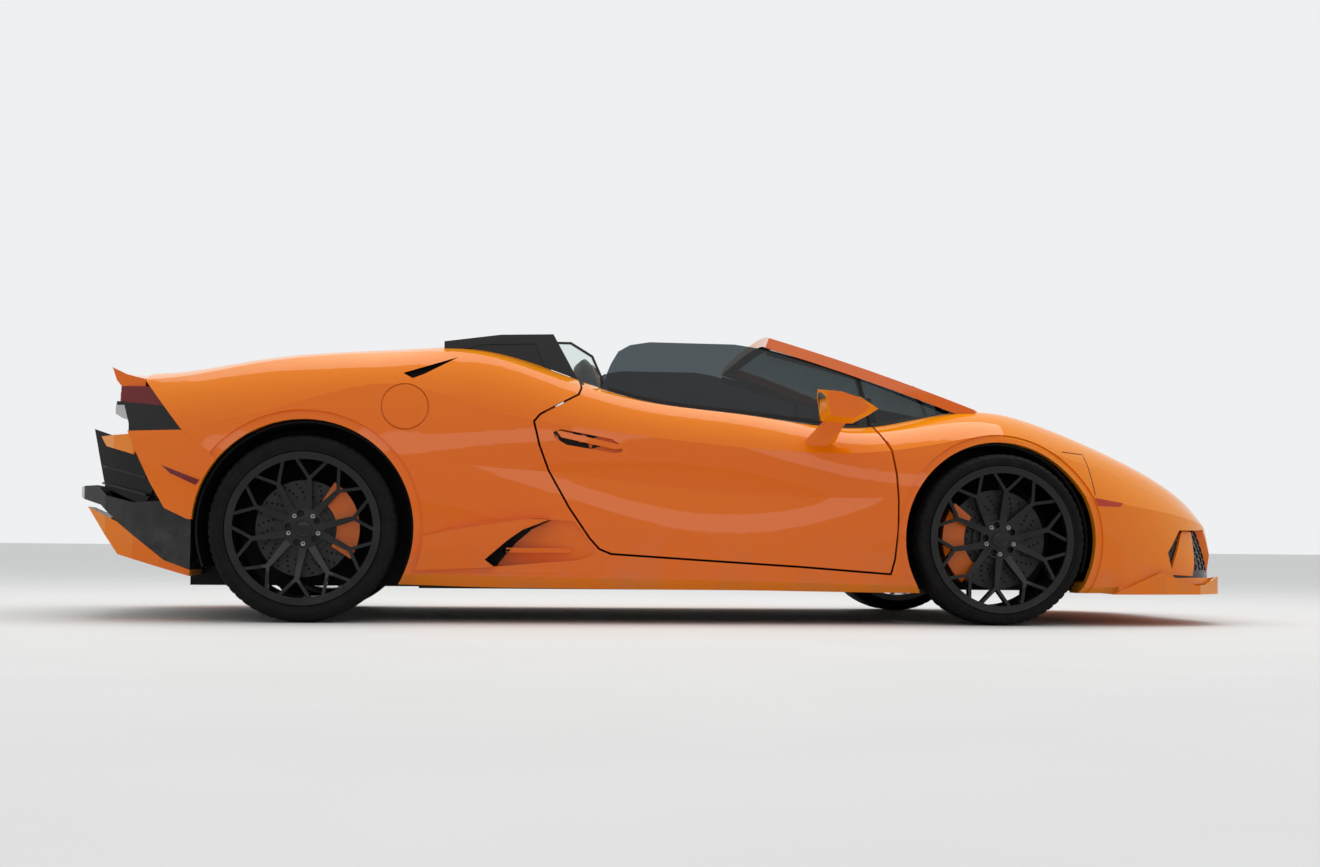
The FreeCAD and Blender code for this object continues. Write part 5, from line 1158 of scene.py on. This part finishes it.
def honeycomb(bm, surface, spans, cell, width, place):
    """Ridges of a six-sided mesh laid over a surface, within the spans given."""
    low_a, high_a, low_b, high_b = spans
    rise = cell * math.sqrt(3) / 2
    rows = int((high_b - low_b) / rise)
    columns = int((high_a - low_a) / (1.5 * cell)) + 1
    for i in range(columns):
        for j in range(rows):
            a = low_a + 1.5 * cell * i
            b = low_b + rise * 2 * j + (rise if i % 2 else 0.0)
            if b > high_b:
                continue
            corners = [(a + cell * math.cos(math.pi / 3 * k),
                        b + cell * math.sin(math.pi / 3 * k)) for k in range(4)]
            for p, q in zip(corners, corners[1:]):
                laid_strip(bm, surface, [place(p), place(q)], width, lift=0.004, depth=0.001, step=0.05)


class GrilleOperator(bpy.types.Operator):
    """Lays the honeycomb meshes and the louvres' dark backs"""
    bl_idname = "supercar.grilles"
    bl_label = "Grilles"

    def execute(self, context):
        for side, hand in ((-1, "right"), (1, "left")):
            front = Surface(["front_grilles"], (-1, 0, 0))
            bm = bmesh.new()
            honeycomb(bm, front, (0.28, 0.80, 0.215, 0.365), 0.016, 0.003, lambda p: (0.0, side * p[0], p[1]))
            finished("front_mesh_" + hand, "chassis", "trim_black", bm, smooth=False)
        lay_both("nose_plates", "chassis", "body_paint", ["front_grilles"], (0, 1, 0),
                 [("patch", on_side(NOSE_PLATE), {"lift": 0.012, "depth": 0.006})])
        cover = Surface(["engine_cover"], (0, 0, -1))
        bm = bmesh.new()
        for k in range(7):
            x = -0.800 - 0.130 * k - 0.029
            laid_strip(bm, cover, [(x, -0.292, 0), (x, 0.292, 0)], 0.050, lift=0.0015, depth=0.0, step=0.03)
        finished("louvre_backs", "engine_cover", "vent_dark", bm, smooth=False)
        return {"FINISHED"}


# Face finishes: node, finish, and what a face's middle and normal must meet
FACE_FINISHES = [
    ("door_right", "cabin_grain", lambda c, n: n.y > 0.5 and c.y > -0.86 and c.z < 0.9),
    ("door_left", "cabin_grain", lambda c, n: n.y < -0.5 and c.y < 0.86 and c.z < 0.9),
    ("door_right", "seam_dark", lambda c, n: c.y < -0.8 and in_outline(HANDLE_POCKET, c)
     and not in_outline(HANDLE_BAR, c)),
    ("door_left", "seam_dark", lambda c, n: c.y > 0.8 and in_outline(HANDLE_POCKET, c)
     and not in_outline(HANDLE_BAR, c)),
    ("windscreen_frame", "cabin_grain", lambda c, n: n.z < -0.6),
    ("rear_quarters", "vent_dark", lambda c, n: -0.72 < c.x < -0.47 and 0.2 < c.z < 0.39 and abs(c.y) > 0.87
     and n.x > 0.4 and n.z < 0.2),
    ("rear_quarters", "vent_dark", lambda c, n: in_outline(DECK_SLOT, c)),
]


def in_outline(outline, place):
    """Whether a point lies inside an outline given in the side view, in millimetres."""
    x, z = place.x / MM, place.z / MM
    inside = False
    for (ax, az), (bx, bz) in zip(outline, outline[1:] + outline[:1]):
        if (az > z) != (bz > z) and x < ax + (z - az) * (bx - ax) / (bz - az):
            inside = not inside
    return inside


def paint_faces(name, finish, wanted):
    """Gives the faces of a carried-over solid that meet a test a second finish."""
    obj = frame["nodes"][name]
    mesh = obj.data
    made = finish_of(finish)
    if made.name not in [m.name for m in mesh.materials]:
        mesh.materials.append(made)
    index = [m.name for m in mesh.materials].index(made.name)
    for polygon in mesh.polygons:
        if wanted(polygon.center, polygon.normal):
            polygon.material_index = index


class FaceFinishOperator(bpy.types.Operator):
    """Finishes the inner faces of doors, header and intakes"""
    bl_idname = "supercar.face_finishes"
    bl_label = "Face finishes"

    def execute(self, context):
        for name, finish, wanted in FACE_FINISHES:
            paint_faces(name, finish, wanted)
        return {"FINISHED"}


class CabinOperator(bpy.types.Operator):
    """Adds the instrument screens, vents, switches, wheel pad and stitch lines"""
    bl_idname = "supercar.cabin"
    bl_label = "Cabin"

    def execute(self, context):
        top = Surface(["dashboard"], (0, 0, -1))
        rear = Surface(["dashboard"], (1, 0, 0))
        lines, screens, switches, vents = bmesh.new(), bmesh.new(), bmesh.new(), bmesh.new()
        for x in (610, 900):
            laid_strip(lines, top, from_above([(x, -600), (x, -200), (x, 200), (x, 600)]), 0.0025,
                       lift=0.0012)
        for y in (-92, 92):
            laid_strip(lines, top, from_above([(-400, y), (60, y), (500, y), (540, y)]), 0.0025, lift=0.0012)
        laid_patch(screens, rear, from_behind([(270, 740), (474, 740), (474, 806), (372, 818), (270, 806)]),
                   lift=0.003, step=0.03)
        laid_patch(screens, rear, from_behind([(-88, 560), (88, 560), (88, 680), (-88, 680)]), lift=0.003,
                   step=0.03)
        for k in range(4):
            y = -66 + 44 * k
            square = [(y - 14, 716), (y + 14, 716), (y + 14, 734), (y - 14, 734)]
            laid_patch(switches, rear, from_behind(square), lift=0.006, step=0.05)
            plan = [(130 - 34 * k, -30), (156 - 34 * k, -30), (156 - 34 * k, 30), (130 - 34 * k, 30)]
            laid_patch(switches, top, from_above(plan), lift=0.006, step=0.05)
        for y in (-560, -180, 180, 560):
            ring = [(y + 44 * math.cos(math.tau * (k + 0.5) / 6),
                     770 + 34 * math.sin(math.tau * (k + 0.5) / 6))
                    for k in range(6)]
            laid_patch(vents, rear, from_behind(ring), lift=0.004, step=0.05)
        finished("dash_stitching", "chassis", "stitch_orange", lines, smooth=False)
        finished("dash_screens", "chassis", "screen_glass", screens, smooth=False)
        finished("dash_switches", "chassis", "bar_alloy", switches, smooth=False)
        finished("dash_vents", "chassis", "vent_dark", vents, smooth=False)
        wheel = Surface(["steering_wheel"], (1, 0, 0))
        pad = bmesh.new()
        shape = [(372 + a, 735 + b) for a, b in (
                 (-46, 20), (-34, 40), (34, 40), (46, 20), (38, -30), (14, -46),
                                                 (-14, -46), (-38, -30))]
        laid_patch(pad, wheel, from_behind(shape), lift=0.006, step=0.02)
        soften(finished("steering_pad", "steering_wheel", "wheel_leather", pad), 1)
        return {"FINISHED"}


class StageOperator(bpy.types.Operator):
    """Sets the floor, the background, the lights and the camera"""
    bl_idname = "supercar.stage"
    bl_label = "Stage"

    def execute(self, context):
        settings = context.scene.car_stage
        build_floor()
        build_world(settings.backdrop)
        build_lights()
        build_camera(settings)
        return {"FINISHED"}


def build_floor():
    mesh = bpy.data.meshes.new("floor")
    reach = FLOOR_REACH
    mesh.from_pydata([(-reach, -reach, 0), (reach, -reach, 0), (reach, reach, 0), (-reach, reach, 0)], [],
                     [(0, 1, 2, 3)])
    obj = bpy.data.objects.new("floor", mesh)
    bpy.context.collection.objects.link(obj)
    made, tree, shader = material("floor_pale")
    place = node(tree, "ShaderNodeTexCoord").outputs["Object"]
    cloud = noise(tree, place, 1.5, 6.0)
    tint = mixed(tree, cloud.outputs["Fac"], (0.74, 0.735, 0.72, 1.0), (0.80, 0.795, 0.78, 1.0))
    tree.links.new(tint, shader.inputs["Base Color"])
    set_shader(shader, Roughness=0.75)
    mesh.materials.append(made)


def build_world(brightness):
    """A pale sky above and a darker ground below, with a plain background for the camera."""
    world = bpy.data.worlds.new("studio")
    bpy.context.scene.world = world
    world.use_nodes = True
    tree = world.node_tree
    place = node(tree, "ShaderNodeTexCoord").outputs["Generated"]
    height = node(tree, "ShaderNodeSeparateXYZ", {0: place}).outputs["Z"]
    sky = node(tree, "ShaderNodeValToRGB", {"Fac": ramp(tree, height, -0.2, 1.0)})
    stops = sky.color_ramp.elements
    stops[0].position, stops[0].color = 0.0, (0.10, 0.10, 0.10, 1.0)
    stops[1].position, stops[1].color = 1.0, (0.98, 1.0, 1.0, 1.0)
    middle = stops.new(0.19)
    middle.color = (0.16, 0.163, 0.167, 1.0)
    upper = stops.new(0.50)
    upper.color = (0.56, 0.58, 0.60, 1.0)
    path = node(tree, "ShaderNodeLightPath").outputs
    mirrored_ray = maths(tree, "MAXIMUM", path["Is Glossy Ray"], path["Is Transmission Ray"])
    seen = maths(tree, "MAXIMUM", path["Is Camera Ray"], mirrored_ray)
    colour = mixed(tree, seen, sky.outputs["Color"], (0.86, 0.87, 0.88, 1.0))
    back = tree.nodes["Background"]
    tree.links.new(colour, back.inputs["Color"])
    back.inputs["Strength"].default_value = brightness


def area_light(name, place, target, size_x, size_y, power, colour=(1.0, 1.0, 1.0)):
    lamp = bpy.data.lights.new(name, "AREA")
    lamp.shape, lamp.size, lamp.size_y, lamp.energy, lamp.color = "RECTANGLE", size_x, size_y, power, colour
    obj = bpy.data.objects.new(name, lamp)
    bpy.context.collection.objects.link(obj)
    obj.location = place
    obj.rotation_euler = (Vector(target) - Vector(place)).to_track_quat("-Z", "Y").to_euler()
    return obj


def build_lights():
    area_light("softbox_top", (0.0, 0.8, 6.5), (0.0, 0.0, 0.5), 8.0, 3.5, 220.0)
    area_light("softbox_side", (-1.0, -9.5, 3.4), (0.0, 0.0, 0.5), 8.0, 1.2, 42.0)


def build_camera(settings):
    camera = bpy.data.cameras.new("camera")
    camera.lens = settings.lens
    obj = bpy.data.objects.new("camera", camera)
    bpy.context.collection.objects.link(obj)
    turn = Matrix.Rotation(-settings.camera_turn, 4, "Z")
    tilt = Matrix.Rotation(math.pi / 2 + settings.camera_tilt, 4, "X")
    roll = Matrix.Rotation(settings.camera_roll, 4, "Z")
    obj.matrix_world = Matrix.Translation(settings.camera_place) @ turn @ tilt @ roll
    bpy.context.scene.camera = obj
    bpy.context.scene.view_settings.view_transform = "Standard"


class SupercarPanel(bpy.types.Panel):
    """Lists the steps that finish the car"""
    bl_idname = "VIEW3D_PT_supercar"
    bl_label = "Supercar"
    bl_space_type = "VIEW_3D"
    bl_region_type = "UI"
    bl_category = "Supercar"

    def draw(self, context):
        layout = self.layout
        for operator in OPERATORS:
            layout.operator(operator.bl_idname)
        layout.prop(context.scene.car_paint, "colour")
        layout.prop(context.scene.car_paint, "glow")
        layout.prop(context.scene.car_paint, "flake")
        layout.prop(context.scene.car_stage, "lens")


OPERATORS = [FinishOperator, FaceFinishOperator, TyreOperator, WheelTrimOperator, BodyLineOperator,
             LampOperator,
             GlassTrimOperator, GrilleOperator, SeatOperator, DoorCardOperator, CabinOperator, StageOperator]
SETTINGS = {"car_paint": PaintSettings, "car_stage": StageSettings}


def register():
    for name, group in SETTINGS.items():
        bpy.utils.register_class(group)
        setattr(bpy.types.Scene, name, PointerProperty(type=group))
    for operator in OPERATORS:
        bpy.utils.register_class(operator)
    bpy.utils.register_class(SupercarPanel)


def unregister():
    bpy.utils.unregister_class(SupercarPanel)
    for operator in reversed(OPERATORS):
        bpy.utils.unregister_class(operator)
    for name, group in SETTINGS.items():
        delattr(bpy.types.Scene, name)
        bpy.utils.unregister_class(group)


def main():
    register()
    bpy.ops.supercar.finishes()
    bpy.ops.supercar.face_finishes()
    bpy.ops.supercar.tyres()
    bpy.ops.supercar.wheel_trim()
    bpy.ops.supercar.body_lines()
    bpy.ops.supercar.lamps()
    bpy.ops.supercar.glass_trim()
    bpy.ops.supercar.grilles()
    bpy.ops.supercar.seats()
    bpy.ops.supercar.door_cards()
    bpy.ops.supercar.cabin()
    bpy.ops.supercar.stage()


if __name__ == "__main__":
    main()
